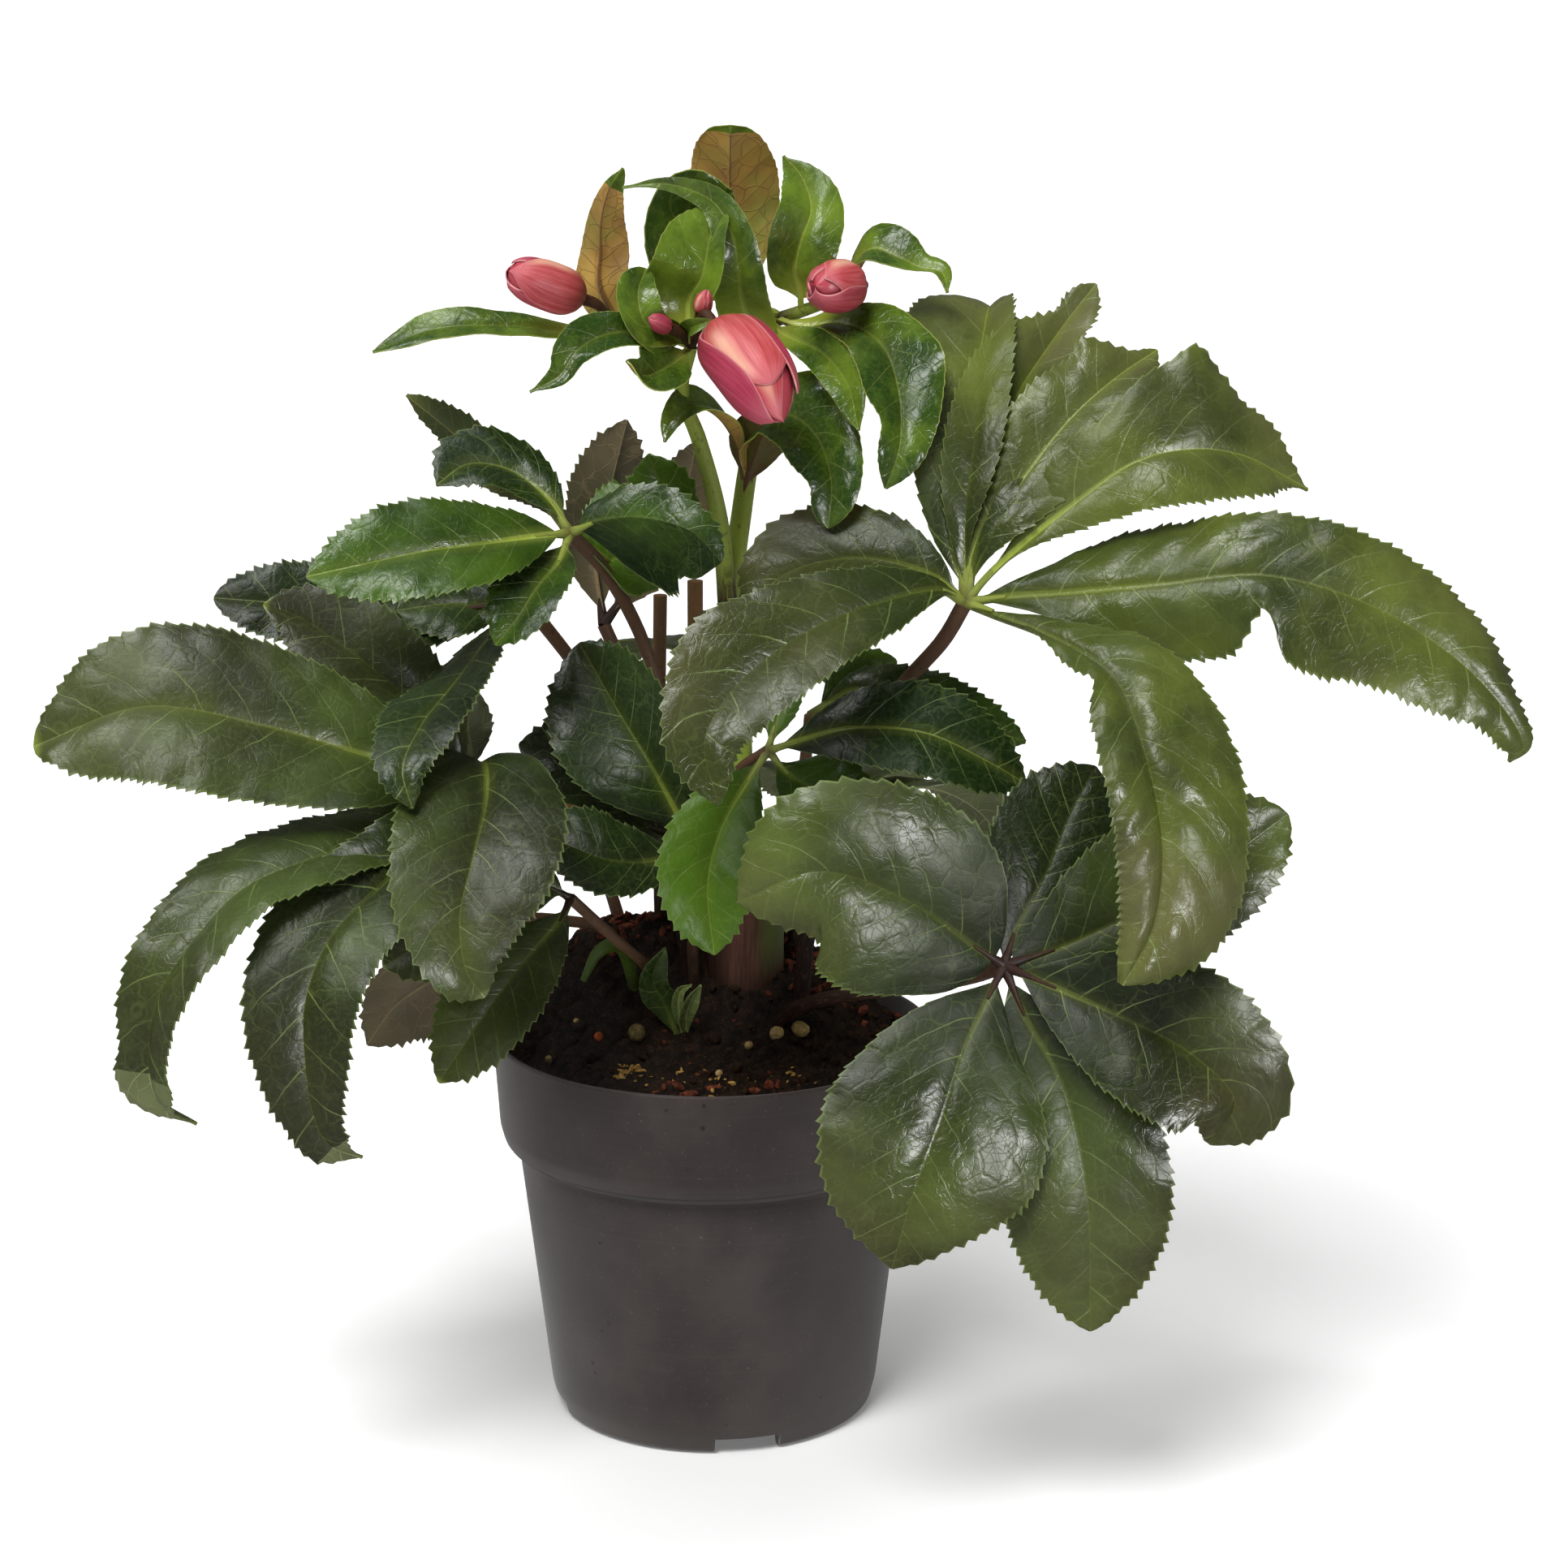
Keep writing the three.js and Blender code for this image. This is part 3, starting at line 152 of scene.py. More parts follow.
            folds=(22, 22), rib_light=0.2),
    ]),
    "leaf_centre": ("leaf_bright", (2.2, 1.7), [(8, -6, 118), (7, -7, 152), (6, -12, 171), (4, -33, 195),
            (8, -40, 218), (18, -45, 227)], [
        # The tint of -0.5 paints this leaflet dark all over: partly its own dark green, partly painted shade
        # under the leaves above.
        leaflet(30, (0, -0.8, 0.6), (27, -50, 231), (43, -58, 237), (65, -64, 237), (83, -66, 229),
            (95, -62, 221), folds=(12, 16), relief=0.3, rib_light=0.7, tint=-0.5),
        leaflet(11, (0, -1, 0.3), (20, -42, 234), (22, -38, 240), (27, -34, 248)),
        leaflet(26, (0, -0.9, 0.4), (24, -46, 220), (36, -48, 214), (51, -50, 213)),
        leaflet(32, (-0.1, -0.95, 0.3), (12, -50, 219), (4, -60, 207), (0, -70, 192), (2, -76, 172),
            folds=(22, 24), rib_light=0.5, tint=0.8),
    ]),
    "leaf_low_left": ("leaf_green", (1.9, 1.6), [(-14, -13, 122), (-17, -24, 148), (-30, -40, 167),
            (-42, -50, 182)], [
        leaflet(29, (-0.3, -0.9, 0.3), (-45, -58, 177), (-56, -72, 167), (-68, -84, 153), (-80, -88, 136)),
        leaflet(22, (0, -0.8, 0.6), (-48, -52, 186), (-57, -56, 189), (-67, -60, 189)),
    ]),
    "leaf_back_low_left": ("leaf_back", (2.2, 1.8), [(-24, 6, 122), (-32, 5, 154), (-48, -2, 161),
            (-65, -10, 164)], [
        leaflet(30, (0.3, 0.8, -0.5), (-71, -10, 159), (-85, -8, 145), (-100, -8, 134), (-109, -10, 122)),
        leaflet(28, (0, -0.8, 0.6), (-70, -12, 168), (-85, -18, 161), (-102, -26, 153)),
    ]),
    "leaf_back_left": ("leaf_green", (2.6, 2.0), [(-8, 22, 122), (-15, 20, 175), (-38, 10, 233),
            (-57, 0, 263)], [
        leaflet(30, (0, -0.8, 0.6), (-80, 0, 261), (-107, -8, 262), (-133, -14, 266), (-152, -16, 268),
            blunt=0.6),
        leaflet(24, (0, -0.8, 0.6), (-70, 2, 262), (-83, -2, 263), (-97, -6, 262)),
        leaflet(28, (-0.4, -0.7, 0.5), (-67, -24, 257), (-75, -50, 250), (-84, -78, 242), (-88, -92, 233),
            (-85, -98, 223), twist=50),
    ]),
    "leaf_back_right": ("leaf_young", (2.4, 1.8), [(28, 6, 118), (26, 7, 170), (31, -4, 228)], [
        leaflet(22, (0, -0.8, 0.6), (46, -14, 239), (66, -20, 235), (97, -26, 225)),
        leaflet(18, (0, -0.9, 0.4), (47, 0, 239), (58, 4, 244)),
        leaflet(16, (0, -0.9, 0.4), (57, -6, 234), (69, -4, 236), (68, 0, 240)),
    ]),
    "leaf_back_centre": ("leaf_back", (2.6, 2.0), [(4, 26, 122), (-10, 34, 190), (-35, 38, 248)], [
        leaflet(26, (-0.3, 0.9, 0.3), (-38, 48, 267), (-34, 54, 287), (-28, 58, 311)),
        leaflet(22, (0.2, 0.9, 0.3), (-20, 42, 268), (-10, 44, 286), (-5, 46, 306)),
    ]),
    "leaf_rear_right": ("leaf_green", (2.6, 2.0), [(26, 20, 118), (32, 36, 150), (40, 52, 176)], [
        leaflet(34, (0.3, 0.5, 0.8), (52, 66, 183), (72, 88, 182), (92, 108, 166), (102, 122, 142)),
        leaflet(32, (0.1, 0.5, 0.8), (46, 74, 188), (54, 102, 186), (62, 132, 166)),
        leaflet(30, (-0.1, 0.5, 0.8), (34, 72, 186), (28, 104, 184), (24, 136, 164)),
    ]),
    "leaf_rear_left": ("leaf_green", (2.6, 2.0), [(-22, 24, 118), (-32, 40, 152), (-42, 58, 176)], [
        leaflet(34, (-0.3, 0.5, 0.8), (-56, 70, 182), (-76, 86, 178), (-96, 102, 162), (-106, 112, 140)),
        leaflet(32, (-0.1, 0.5, 0.8), (-48, 80, 186), (-54, 106, 182), (-60, 132, 162)),
        leaflet(30, (0.1, 0.5, 0.8), (-34, 78, 188), (-26, 104, 186), (-20, 132, 166)),
    ]),
    "leaf_rear_top": ("leaf_green", (2.6, 2.0), [(14, 34, 118), (10, 48, 180), (4, 62, 226)], [
        leaflet(28, (-0.3, 0.4, 0.85), (-6, 72, 232), (-22, 90, 230), (-38, 108, 214)),
        leaflet(30, (0, 0.5, 0.8), (6, 80, 238), (10, 104, 236), (14, 136, 216)),
        leaflet(28, (0.3, 0.4, 0.85), (18, 72, 230), (34, 88, 224), (50, 106, 206)),
    ]),
}

# The flowering stem's axes: radii at the foot and the top, and the route.
STEM_AXES = [
    ((4.6, 2.6), [(8, 1, 129), (8, 1, 171), (9, 0, 218), (6, 2, 258), (10, 6, 293), (13, 6, 314),
        (16, 4, 342), (19, 2, 354)]),
    ((3.2, 2.0), [(6, 1, 250), (3, -10, 291), (-3, -16, 317), (-8, -22, 333), (-5, -26, 347)]),
    ((2.2, 1.5), [(16, 4, 342), (-6, 2, 348), (-31, -1, 352)]),
    ((2.2, 1.5), [(18, 3, 350), (34, 0, 356), (46, -4, 361)]),
    ((2.2, 1.8), [(18, 4, 349), (11, 14, 357)]),
]

# The bracts: where each leaves its axis, and its blade.
BRACTS = [
    ((-5, -26, 347), leaflet(17, (0.1, -0.8, 0.6), (-17, -36, 352), (-29, -42, 353), (-38, -48, 349),
        (-43, -50, 342), (-52, -50, 337), folds=(28, 8), widest=0.42, blunt=1.15, tint=0.2,
        lobes=[(1, 0.42, 0.08, 0.3, 2), (-1, 0.75, 0.08, 0.25, -1)])),
    ((-5, -26, 347), leaflet(18, (0, -0.9, 0.4), (-12, -41, 343), (-19, -51, 342), (-23, -54, 347),
        folds=(20, 20), tint=0.3)),
    ((-5, -26, 347), leaflet(24, (-0.2, -0.95, 0.3), (-5.4, -23, 360.9), (-1.4, -25, 368.4), (0.5, -22, 378),
        (4.1, -14, 386.5), folds=(30, 36), ends=(0.6, 0.6), widest=0.5, blunt=0.5, skew=-0.25, cup=0.02,
        bare=2, rib_light=0.7, tint=0.5)),
    ((16, 4, 342), leaflet(16, (-0.2, -0.85, 0.5), (10.1, -14, 359.7), (9.2, -20, 370.2), (7.3, -20, 379.9),
        (1.9, -16, 388.6), (-7.3, -16, 393.2), (-15.5, -17, 394.5), (-25.4, -17, 393.3), folds=(20, 16),
        ends=(1.1, 1.1), widest=0.34, blunt=0.5, tint=0.35)),
    ((-5, -26, 347), leaflet(15, (0.3, -0.9, 0.3), (-11, -32, 351.7), (-14.7, -37, 352.9),
        (-18.7, -39, 356.8), (-20.5, -35, 363.9), (-18.2, -28, 370.5), folds=(26, 34), ends=(0.6, 0.6),
        blunt=0.5, skew=-0.12, cup=0.01, rib_light=0.5, tint=0.42)),
    ((-28, 0, 351), leaflet(17, (0.2, 0.95, 0.2), (-33.1, 0, 361.7), (-32.8, 3, 371.2), (-32.6, 5, 380.9),
        (-30, 4, 390.8), (-25.9, 2, 397.1), folds=(14, 24), ends=(0.6, 0.9), widest=0.36, blunt=0.4, bare=1,
        tint=0.6, rolled=0.84)),
    ((-30, -1, 352), leaflet(13, (0, -0.5, 0.85), (-42, -2, 348), (-57, -6, 350), (-82, -10, 350),
        (-102, -10, 343), folds=(10, 20), rib_light=0.2, tint=0.3)),
    ((28, 1, 354), leaflet(24, (0, -1, 0.1), (27.5, -4, 362.2), (26, -8, 368.2), (27.9, -10, 377),
        (30.9, -8, 385.8), (27.9, -3, 395.2), (22.6, 0, 401), folds=(34, 26), ends=(0.8, 1.25), widest=0.55,
        blunt=0.7, rib_light=0.8, tint=0.45, lobes=[(1, 0.6, 0.12, 0, -4)])),
    ((44, -3, 360), leaflet(18, (0, -0.5, 0.85), (45, -6, 368), (50, -9, 374), (57, -12, 372), (64, -14, 369),
        (70, -16, 368), (72, -18, 362), folds=(24, 20), widest=0.34, blunt=1.0, rib_light=0.8, tint=0.35,
        lobes=[(1, 0.75, 0.08, 0.4, 0), (-1, 0.72, 0.1, 0.2, 0)])),
    ((19, 2, 352), leaflet(27, (0.2, -0.9, 0.4), (29, -6, 350), (41, -14, 352), (52, -24, 347),
        (57, -34, 334), (57, -42, 319), (53, -44, 307), folds=(18, 26), tint=0.25,
        lobes=[(1, 0.8, 0.07, 0.3, 1), (-1, 0.6, 0.08, -0.1, 3)])),
    ((19, 2, 350), leaflet(14, (-0.2, -0.9, 0.4), (24, -10, 348), (35, -22, 344), (42, -32, 336),
        (45, -40, 324), folds=(26, 20), tint=0.5)),
    ((11, 14, 355), leaflet(28, (0, 1, 0.1), (9, 18, 360), (6.5, 22, 374), (6.2, 23, 392), (6.5, 18, 408.6),
        folds=(10, 16), ends=(0.46, 0.36), widest=0.54, blunt=0.5, skew=-0.1, tint=0.5, rolled=0.95)),
    ((11, 14, 355), leaflet(32, (0, -1, 0.1), (2, 12, 360), (-4, 9, 374), (-2, 7, 384), (7, 4, 390),
        folds=(20, 26), ends=(0.5, 0.6), rib_light=0.2, tint=0.2, lobes=[(-1, 0.3, 0.22, -0.3, 0)])),
    ((11, 6, 298), leaflet(13, (0, -0.6, 0.8), (8, -4, 315), (2, -14, 325), (-6, -24, 329), (-11, -30, 325),
        (-13, -32, 319), folds=(26, 20), tint=0.4)),
    ((11, 6, 298), leaflet(26, (0.2, -0.9, 0.4), (15, -2, 314), (24, -14, 324), (33, -26, 319),
        (37, -34, 307), (36, -38, 294), folds=(26, 16), blunt=0.6, rib_light=0.3, tint=0.3,
        lobes=[(-1, 0.5, 0.1, -0.1, 3), (1, 0.85, 0.08, 0.3, 0)])),
    ((10, 5, 296), leaflet(20, (0, 1, 0.2), (12, 2, 304), (15, -8, 314), (19, -12, 326), folds=(24, 24),
        tint=0.1)),
    ((-5, -26, 347), leaflet(6, (-0.3, -0.9, 0.3), (-5.1, -35, 353.4), (-2, -38.2, 355.4), (1.4, -39, 356.6),
        folds=(30, 30), bare=1, tint=0.6)),
]

# The sprout's leaflets as photographed: from where each rises, and its blade.
SPROUT_LEAFLETS = [
    ((-10, -23, 128), leaflet(11, (-0.2, -1, 0.2), (-14, -26, 140), (-18, -30, 151), (-14, -33, 161),
        folds=(40, 24), bare=2, tint=0.3, toothed=0.5)),
    ((-8, -24, 128), leaflet(6, (0.3, -0.9, 0.3), (-8, -28, 137), (-6, -31, 144), (-3, -33, 149),
        folds=(34, 34), bare=2, tint=0.2, toothed=0.4)),
    ((-8, -24, 128), leaflet(4.5, (-0.2, -0.9, 0.5), (-10, -29, 142), (-9, -31, 147), (-6, -33, 149),
        folds=(30, 30), bare=2, tint=0.9, toothed=0.4)),
]

# Each bud: where its stalk leaves the stem, its base, its tip and its radius. Then how it closes (two
# powers of its outline towards the tip), its bow in millimetres and how brown its foot is. Then its
# sepals, inner ones first: the way each faces round the bud from the viewer's side and its half width,
# both in degrees, how far it leans along the bud, where it ends, its stand above the innermost in
# millimetres, how magenta it is, and the place of its cream band across it. The cream band is partly
# the sepal's own cream and partly a painted highlight.
NO_BAND = 9
BUDS = {
    "bud_centre": ((-5, -26, 347), (2, -38, 355), (23, -64, 330), 11.4, (2.7, 0.85, -1.6, 0.3), [
        (12, 70, 0, 1.0, 0.0, 0.25, 0.36), (180, 80, 0, 0.92, 0.2, 0.8, NO_BAND),
        (-20, 66, 10, 0.78, 0.9, 0.0, 0.8), (-98, 44, 0, 0.83, 1.5, 0.85, NO_BAND),
        (86, 66, -50, 0.97, 1.3, 1.0, NO_BAND),
    ]),
    "bud_small": ((-5, -26, 347), (-11, -37, 354), (-17, -43, 358), 3.6, (2.2, 0.7, 0.0, 0.6), [
        (180, 80, 0, 0.96, 0.0, 0.8, NO_BAND), (70, 70, 0, 0.98, 0.2, 1.0, NO_BAND),
        (-50, 70, 0, 1.0, 0.4, 0.8, NO_BAND),
    ]),
    "bud_brown": ((-5, -26, 347), (-2, -31, 357), (0, -33, 365), 3.6, (2.2, 0.8, 0.0, 1.0), [
        (180, 80, 0, 0.96, 0.0, 0.2, NO_BAND), (80, 70, 0, 0.98, 0.2, 0.2, NO_BAND),
        (-40, 70, 0, 1.0, 0.4, 0.1, 0.5),
    ]),
    "bud_left": ((-31, -1, 352), (-38, -10, 359), (-60, -21, 369), 8.2, (2.9, 0.5, 0.0, 0.75), [
        (180, 80, 0, 0.98, 0.0, 0.9, NO_BAND), (96, 60, 0, 0.97, 0.25, 1.0, NO_BAND),
        (-96, 60, 0, 0.95, 0.3, 0.8, NO_BAND), (0, 66, 0, 0.99, 1.0, 0.12, 0.9),
    ]),
    "bud_right": ((46, -4, 361), (44, -15, 364), (32, -33, 366), 8.2, (2.6, 0.52, 0.0, 0.5), [
        (180, 70, 0, 0.95, 0.0, 0.4, NO_BAND), (110, 62, 0, 0.98, 0.2, 0.35, NO_BAND),
        (20, 66, 0, 0.93, 0.7, 0.05, 0.7), (-104, 84, 0, 1.0, 1.2, 0.65, NO_BAND),
    ]),
}
BUD_STALK_RADII = (1.5, 1.5, 1.9)

CUT_STALKS = {
    "cut_stalk_right": ((2.7, 2.5), [(-2, 17, 122), (-5, 11, 200), (-5, 10, 268)]),
    "cut_stalk_left": ((2.4, 2.2), [(-16, 16, 122), (-17, 13, 200), (-16, 12, 263)]),
}
SPROUT_STALK = ((2.2, 2.2, 1.8), [(-9, -21, 120), (-9, -23, 138)])
SHOOT = ((1.7, 1.8, 2.3, 2.4, 1.0),
         [(-25, -10, 118), (-25, -11, 145), (-29, -16, 157), (-35, -20, 156), (-40, -22, 147)])


# ---- Curves


def unit(vectors):
    return vectors / np.maximum(np.linalg.norm(vectors, axis=-1, keepdims=True), 1e-9)


def smoothstep(value, low, high):
    share = np.clip((value - low) / (high - low), 0, 1)
    return share * share * (3 - 2 * share)


def angles_round(sides):
    return np.arange(sides) / sides * FULL_TURN


def smooth_route(points, per_span=24):
    """A centripetal Catmull-Rom curve through the points, closely sampled."""
    p = np.array(points, float)
    p = np.vstack([2 * p[0] - p[1], p, 2 * p[-1] - p[-2]])
    s = np.linspace(0, 1, per_span, endpoint=False)[:, None]
    spans = []
    for a, b, c, d in zip(p, p[1:], p[2:], p[3:]):
        before, during, after = (math.sqrt(np.linalg.norm(v)) for v in (b - a, c - b, d - c))
        leave = ((b - a) / before - (c - a) / (before + during) + (c - b) / during) * during
        arrive = ((c - b) / during - (d - b) / (during + after) + (d - c) / after) * during
        spans.append(b + leave * s + (3 * (c - b) - 2 * leave - arrive) * s**2
                     + (2 * (b - c) + leave + arrive) * s**3)
    return np.vstack(spans + [p[-2:-1]])


def route_length(route):
    return np.linalg.norm(np.diff(smooth_route(route), axis=0), axis=1).sum()


def stations_along(route, shares, facing):
    """Places on a route, with the way forward and a normal at each, and the route's length.

    The normals are carried from the middle out to both ends without spinning."""
    dense = smooth_route(route)
    run = np.concatenate([[0], np.cumsum(np.linalg.norm(np.diff(dense, axis=0), axis=1))])
    at = np.stack([np.interp(shares * run[-1], run, dense[:, k]) for k in range(3)], 1)
    forward = unit(np.gradient(at, axis=0))
    normals = np.zeros_like(at)

    def square(normal, way):
        return unit(normal - way * np.dot(normal, way))

    middle = len(shares) // 2
    normals[middle] = square(np.array(facing, float), forward[middle])
    for i in range(middle + 1, len(shares)):
        normals[i] = square(normals[i - 1], forward[i])
    for i in range(middle - 1, -1, -1):
        normals[i] = square(normals[i + 1], forward[i])
    return at, forward, normals, run[-1]


# ---- Meshes


def linked(name, data):
    made = bpy.data.objects.new(name, data)
    bpy.context.scene.collection.objects.link(made)
    return made


def mesh_object(name, points, faces):
    """A mesh object from points in millimetres."""
    mesh = bpy.data.meshes.new(name)
    mesh.from_pydata((np.array(points) * MM).tolist(), [], faces)
    mesh.update()
    return linked(name, mesh)


def dress(piece, crease, materials, slot, *nodes):
    """Shades a piece smooth below the crease angle, paints it, and ties it to the frame."""
    mesh = piece.data
    mesh.polygons.foreach_set("use_smooth", [True] * len(mesh.polygons))
    mesh.set_sharp_from_angle(angle=math.radians(crease))
    for material in materials:
        mesh.materials.append(material)
    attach(piece, "root")
    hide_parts(*nodes)


class Shape:
    """Collects vertices and faces in millimetres, with four UV maps, for one mesh object."""

    UV_MAPS = ("blade", "vein", "share", "tone")

    def __init__(self):
        self.points, self.faces, self.corner_uvs, self.kinds = [], [], [], []
        self.count = 0

    def add(self, points, faces, table, kinds=0):
        """table holds a (u, v) per UV map for each point, or for each of two equal layers of points.
        kinds are the faces' materials. Returns the rows of all face corners, which may be changed."""
        corners = np.array([i for face in faces for i in face])
        self.points.append(points)
        self.faces.extend([[self.count + i for i in face] for face in faces])
        self.corner_uvs.append(table[corners % len(table)])
        self.kinds.extend([kinds] * len(faces) if isinstance(kinds, int) else kinds)
        self.count += len(points)
        return self.corner_uvs[-1]

    def build(self, name, materials, slot, node, crease=50):
        piece = mesh_object(name, np.vstack(self.points), self.faces)
        corners = np.vstack(self.corner_uvs)
        for k, map_name in enumerate(self.UV_MAPS):
            layer = piece.data.uv_layers.new(name=map_name)
            layer.data.foreach_set("uv", corners[:, 2 * k : 2 * k + 2].ravel())
        piece.data.polygons.foreach_set("material_index", self.kinds)
        dress(piece, crease, materials, slot, node)


def grid_faces(rows, columns, closed=False):
    """Quads over a grid of points, row by row. A closed grid joins its last column to its first."""
    faces = []
    for i in range(rows - 1):
        for k in range(columns if closed else columns - 1):
            right = (k + 1) % columns
            a, b = i * columns, (i + 1) * columns
            faces.append((a + k, a + right, b + right, b + k))
    return faces


def barrel_faces(rows, sides):
    """A closed grid, and a fan at each end round one of two more points that follow the grid's."""
    first, last = rows * sides, (rows - 1) * sides
    caps = [(first, (k + 1) % sides, k) for k in range(sides)]
    caps += [(first + 1, last + k, last + (k + 1) % sides) for k in range(sides)]
    return grid_faces(rows, sides, closed=True) + caps


def slab_faces(rows, columns):
    """The upper faces, the lower faces and the rim of a slab whose two layers are equal grids."""
    size, last = rows * columns, (rows - 1) * columns
    upper = grid_faces(rows, columns)
    lower = [tuple(size + i for i in reversed(face)) for face in upper]
    loop = [i * columns for i in range(rows - 1, 0, -1)] + list(range(columns))
    loop += [i * columns + columns - 1 for i in range(1, rows)]
    loop += [last + k for k in range(columns - 2, 0, -1)]
    rim = [(b, a, a + size, b + size) for a, b in zip(loop, loop[1:] + loop[:1])]
    return upper, lower, rim


# ---- Leaflets

TOOTH_PITCH = 3.3
ROWS_PER_TOOTH = 3
TOOTH_DEPTH = 1.35
BLADE_COLUMNS = np.array([0, 0.03, 0.08, 0.15, 0.24, 0.34, 0.45, 0.56, 0.67, 0.78, 0.87, 0.94, 1.0])
TIP_CROWDING = 0.22
BLADE_THICKNESS = 0.75
EDGE_THICKNESS = 0.4
RIB_DEPTH = 1.4
FOOT_HALF_WIDTH = 1.1
TIP_HALF_WIDTH = 0.5
DROOP = -0.006
BROAD = 30
LUMP_SIZE = 6.5
WHOLE = 2


def blade_outline(t, widest, blunt, end_blunt):
    """The share of the half width at t. A small end_blunt keeps the blade wide up to its end."""
    rise = (t / widest) ** (blunt * widest / (1 - widest))
    fall = ((1 - t) / (1 - widest)) ** end_blunt
    return rise * fall


def scaled(vectors, amounts):
    """The rows' vectors by an amount for each point of the grid."""
    return vectors[:, None, :] * amounts[:, :, None]


def add_leaflet(shape, start, rib, width, face, toothed=1.0, folds=(10, 10), twist=0, wave=1, widest=0.56,
                skew=0, blunt=0.8, ends=None, relief=0.7, bare=5, lobes=(), shift=0, cup=0,
                rib_light=0.35, tint=None, turned=WHOLE, rolled=WHOLE):
    """A leaflet as a thin closed blade from start along its rib, with fine teeth, a sunken rib,
    swellings between the side veins, and a raised rib underneath.

    Pairs are for its two sides. folds are their angles above the flat, ends how blunt they end, skew
    gives one side more of the width, twist turns the blade along its length, wave lifts its margins,
    relief scales its swellings, and bare is its length without a blade. lobes are local changes:
    (side, t, spread, share of the width lost, lift in mm). shift moves the middle sideways, and cup
    hollows the blade. rib_light and tint go to the material. Past turned the tip shows its underside,
    and past rolled it is green underneath."""
    ends = ends or (blunt, blunt)
    route = [start, *rib]
    teeth = max(5, round(route_length(route) / TOOTH_PITCH))
    rows = teeth * ROWS_PER_TOOTH + 1
    step = np.linspace(0, 1, rows)
    t = step + TIP_CROWDING * step * (1 - step)
    at, forward, normal, length = stations_along(route, t, face)
    angle = (math.radians(twist) * (t - 0.5))[:, None]
    side = np.cross(forward, normal)
    normal = normal * np.cos(angle) - side * np.sin(angle)
    side = np.cross(forward, normal)

    # The half width at every row, and what the lobes take from it and lift.
    c = np.concatenate([-BLADE_COLUMNS[:0:-1], BLADE_COLUMNS])
    columns = len(c)
    share = np.abs(c)[None, :]
    hand = np.sign(c)[None, :]
    bend = np.radians(np.where(c > 0, folds[1], folds[0]))[None, :]
    foot = min(bare / length, 0.12)
    along = np.clip((t - foot) / (1 - foot), 0, 1)[:, None]
    outline = [blade_outline(along, widest, blunt, end) for end in ends]
    half = (width / 2) * np.where(c > 0, outline[1], outline[0]) * (1 + skew * hand)
    local_lift = 0 * half
    for lobe_side, centre, spread, loss, height in lobes:
        near = np.exp(-(((t - centre) / spread) ** 2))[:, None] * (hand == lobe_side)
        half = half * (1 - loss * near)
        local_lift = local_lift + height * near * share**1.6
    least = FOOT_HALF_WIDTH + (TIP_HALF_WIDTH - FOOT_HALF_WIDTH) * t[:, None]
    reach = np.maximum(half, least) * share

    # Teeth that lean forward, smaller at both ends, and soft waves of the margin.
    phase = rng.random()
    row = np.arange(rows)[:, None] + (hand > 0)
    beat = (row % ROWS_PER_TOOTH) / (ROWS_PER_TOOTH - 1)
    grown = smoothstep(t, 0.1, 0.3) * (1 - 0.7 * smoothstep(t, 0.9, 1)) * min(1, width / 26)
    uneven = 0.9 + 0.3 * np.sin(step[:, None] * teeth * 2.1 + 9 * phase + hand)
    point_out = TOOTH_DEPTH * toothed * beat**1.3 * grown[:, None] * smoothstep(share, 0.88, 1) * uneven
    point_out = point_out * np.minimum(1, half / 6)
    ripple = wave * np.sin(FULL_TURN * 1.6 * t[:, None] + np.where(c > 0, 0.6, 2.4)[None, :]) * share**2
    ripple = ripple * np.minimum(1, reach / 8)
    crimps = max(3, round(length / 15))
    crimp = 0.4 * np.sin(FULL_TURN * crimps * t[:, None] + 7 * phase + np.where(c > 0, 0, 1.3)[None, :])
    crimp = crimp * share**3 * np.minimum(1, half / 14)

    # Swellings between the side veins, irregular lumps, the groove over the rib, and the valley.
    pitch = min(max(length / 8, 6.5), 15)
    run = (t * length)[:, None] + 0 * reach
    lateral = (run - 0.78 * reach - 0.011 * reach**2) / pitch
    offset = 0.5 * (hand > 0)
    swell = 0.5 * relief * min(1, width / BROAD) * np.sin(math.pi * (lateral + offset)) ** 2
    swell = swell * smoothstep(reach, 1, 6) * (1 - smoothstep(share, 0.8, 1))
    grid = np.stack([hand * reach / LUMP_SIZE, run / LUMP_SIZE], 2)
    lumps = np.array([[noise.noise((u + 40 * phase, v, 2.5)) for u, v in row] for row in grid[::2]])
    lumps = np.repeat(lumps, 2, axis=0)[:rows]
    swell = swell + 0.35 * relief * lumps * smoothstep(reach, 2, 7) * min(1, width / BROAD)
    groove = 0.4 * relief * np.exp(-((reach / 1.2) ** 2))
    valley = 1.2 * relief * np.minimum(1, half / 10) * (1 - np.exp(-reach / 5)) * (1 - 0.8 * share**2)

    out = reach + point_out
    surface = at[:, None, :] + scaled(side, hand * out * np.cos(bend)) + scaled(forward, 0.7 * point_out)
    surface = surface + scaled(side, shift * np.sin(math.pi * t)[:, None])
    hollow = cup * np.sin(math.pi * t)[:, None] + DROOP
    lift = out * np.sin(bend) + hollow * out**2 + ripple + crimp + swell + valley - groove + local_lift
    surface = surface + scaled(normal, lift)
    thickness = EDGE_THICKNESS + (BLADE_THICKNESS - EDGE_THICKNESS) * (1 - share**3)
    ridge = RIB_DEPTH * (1 - 0.75 * t[:, None]) * min(1, width / 36) * np.exp(-((reach / 1.1) ** 2))
    top = surface + scaled(normal, thickness / 2)
    bottom = surface - scaled(normal, thickness / 2 + ridge)

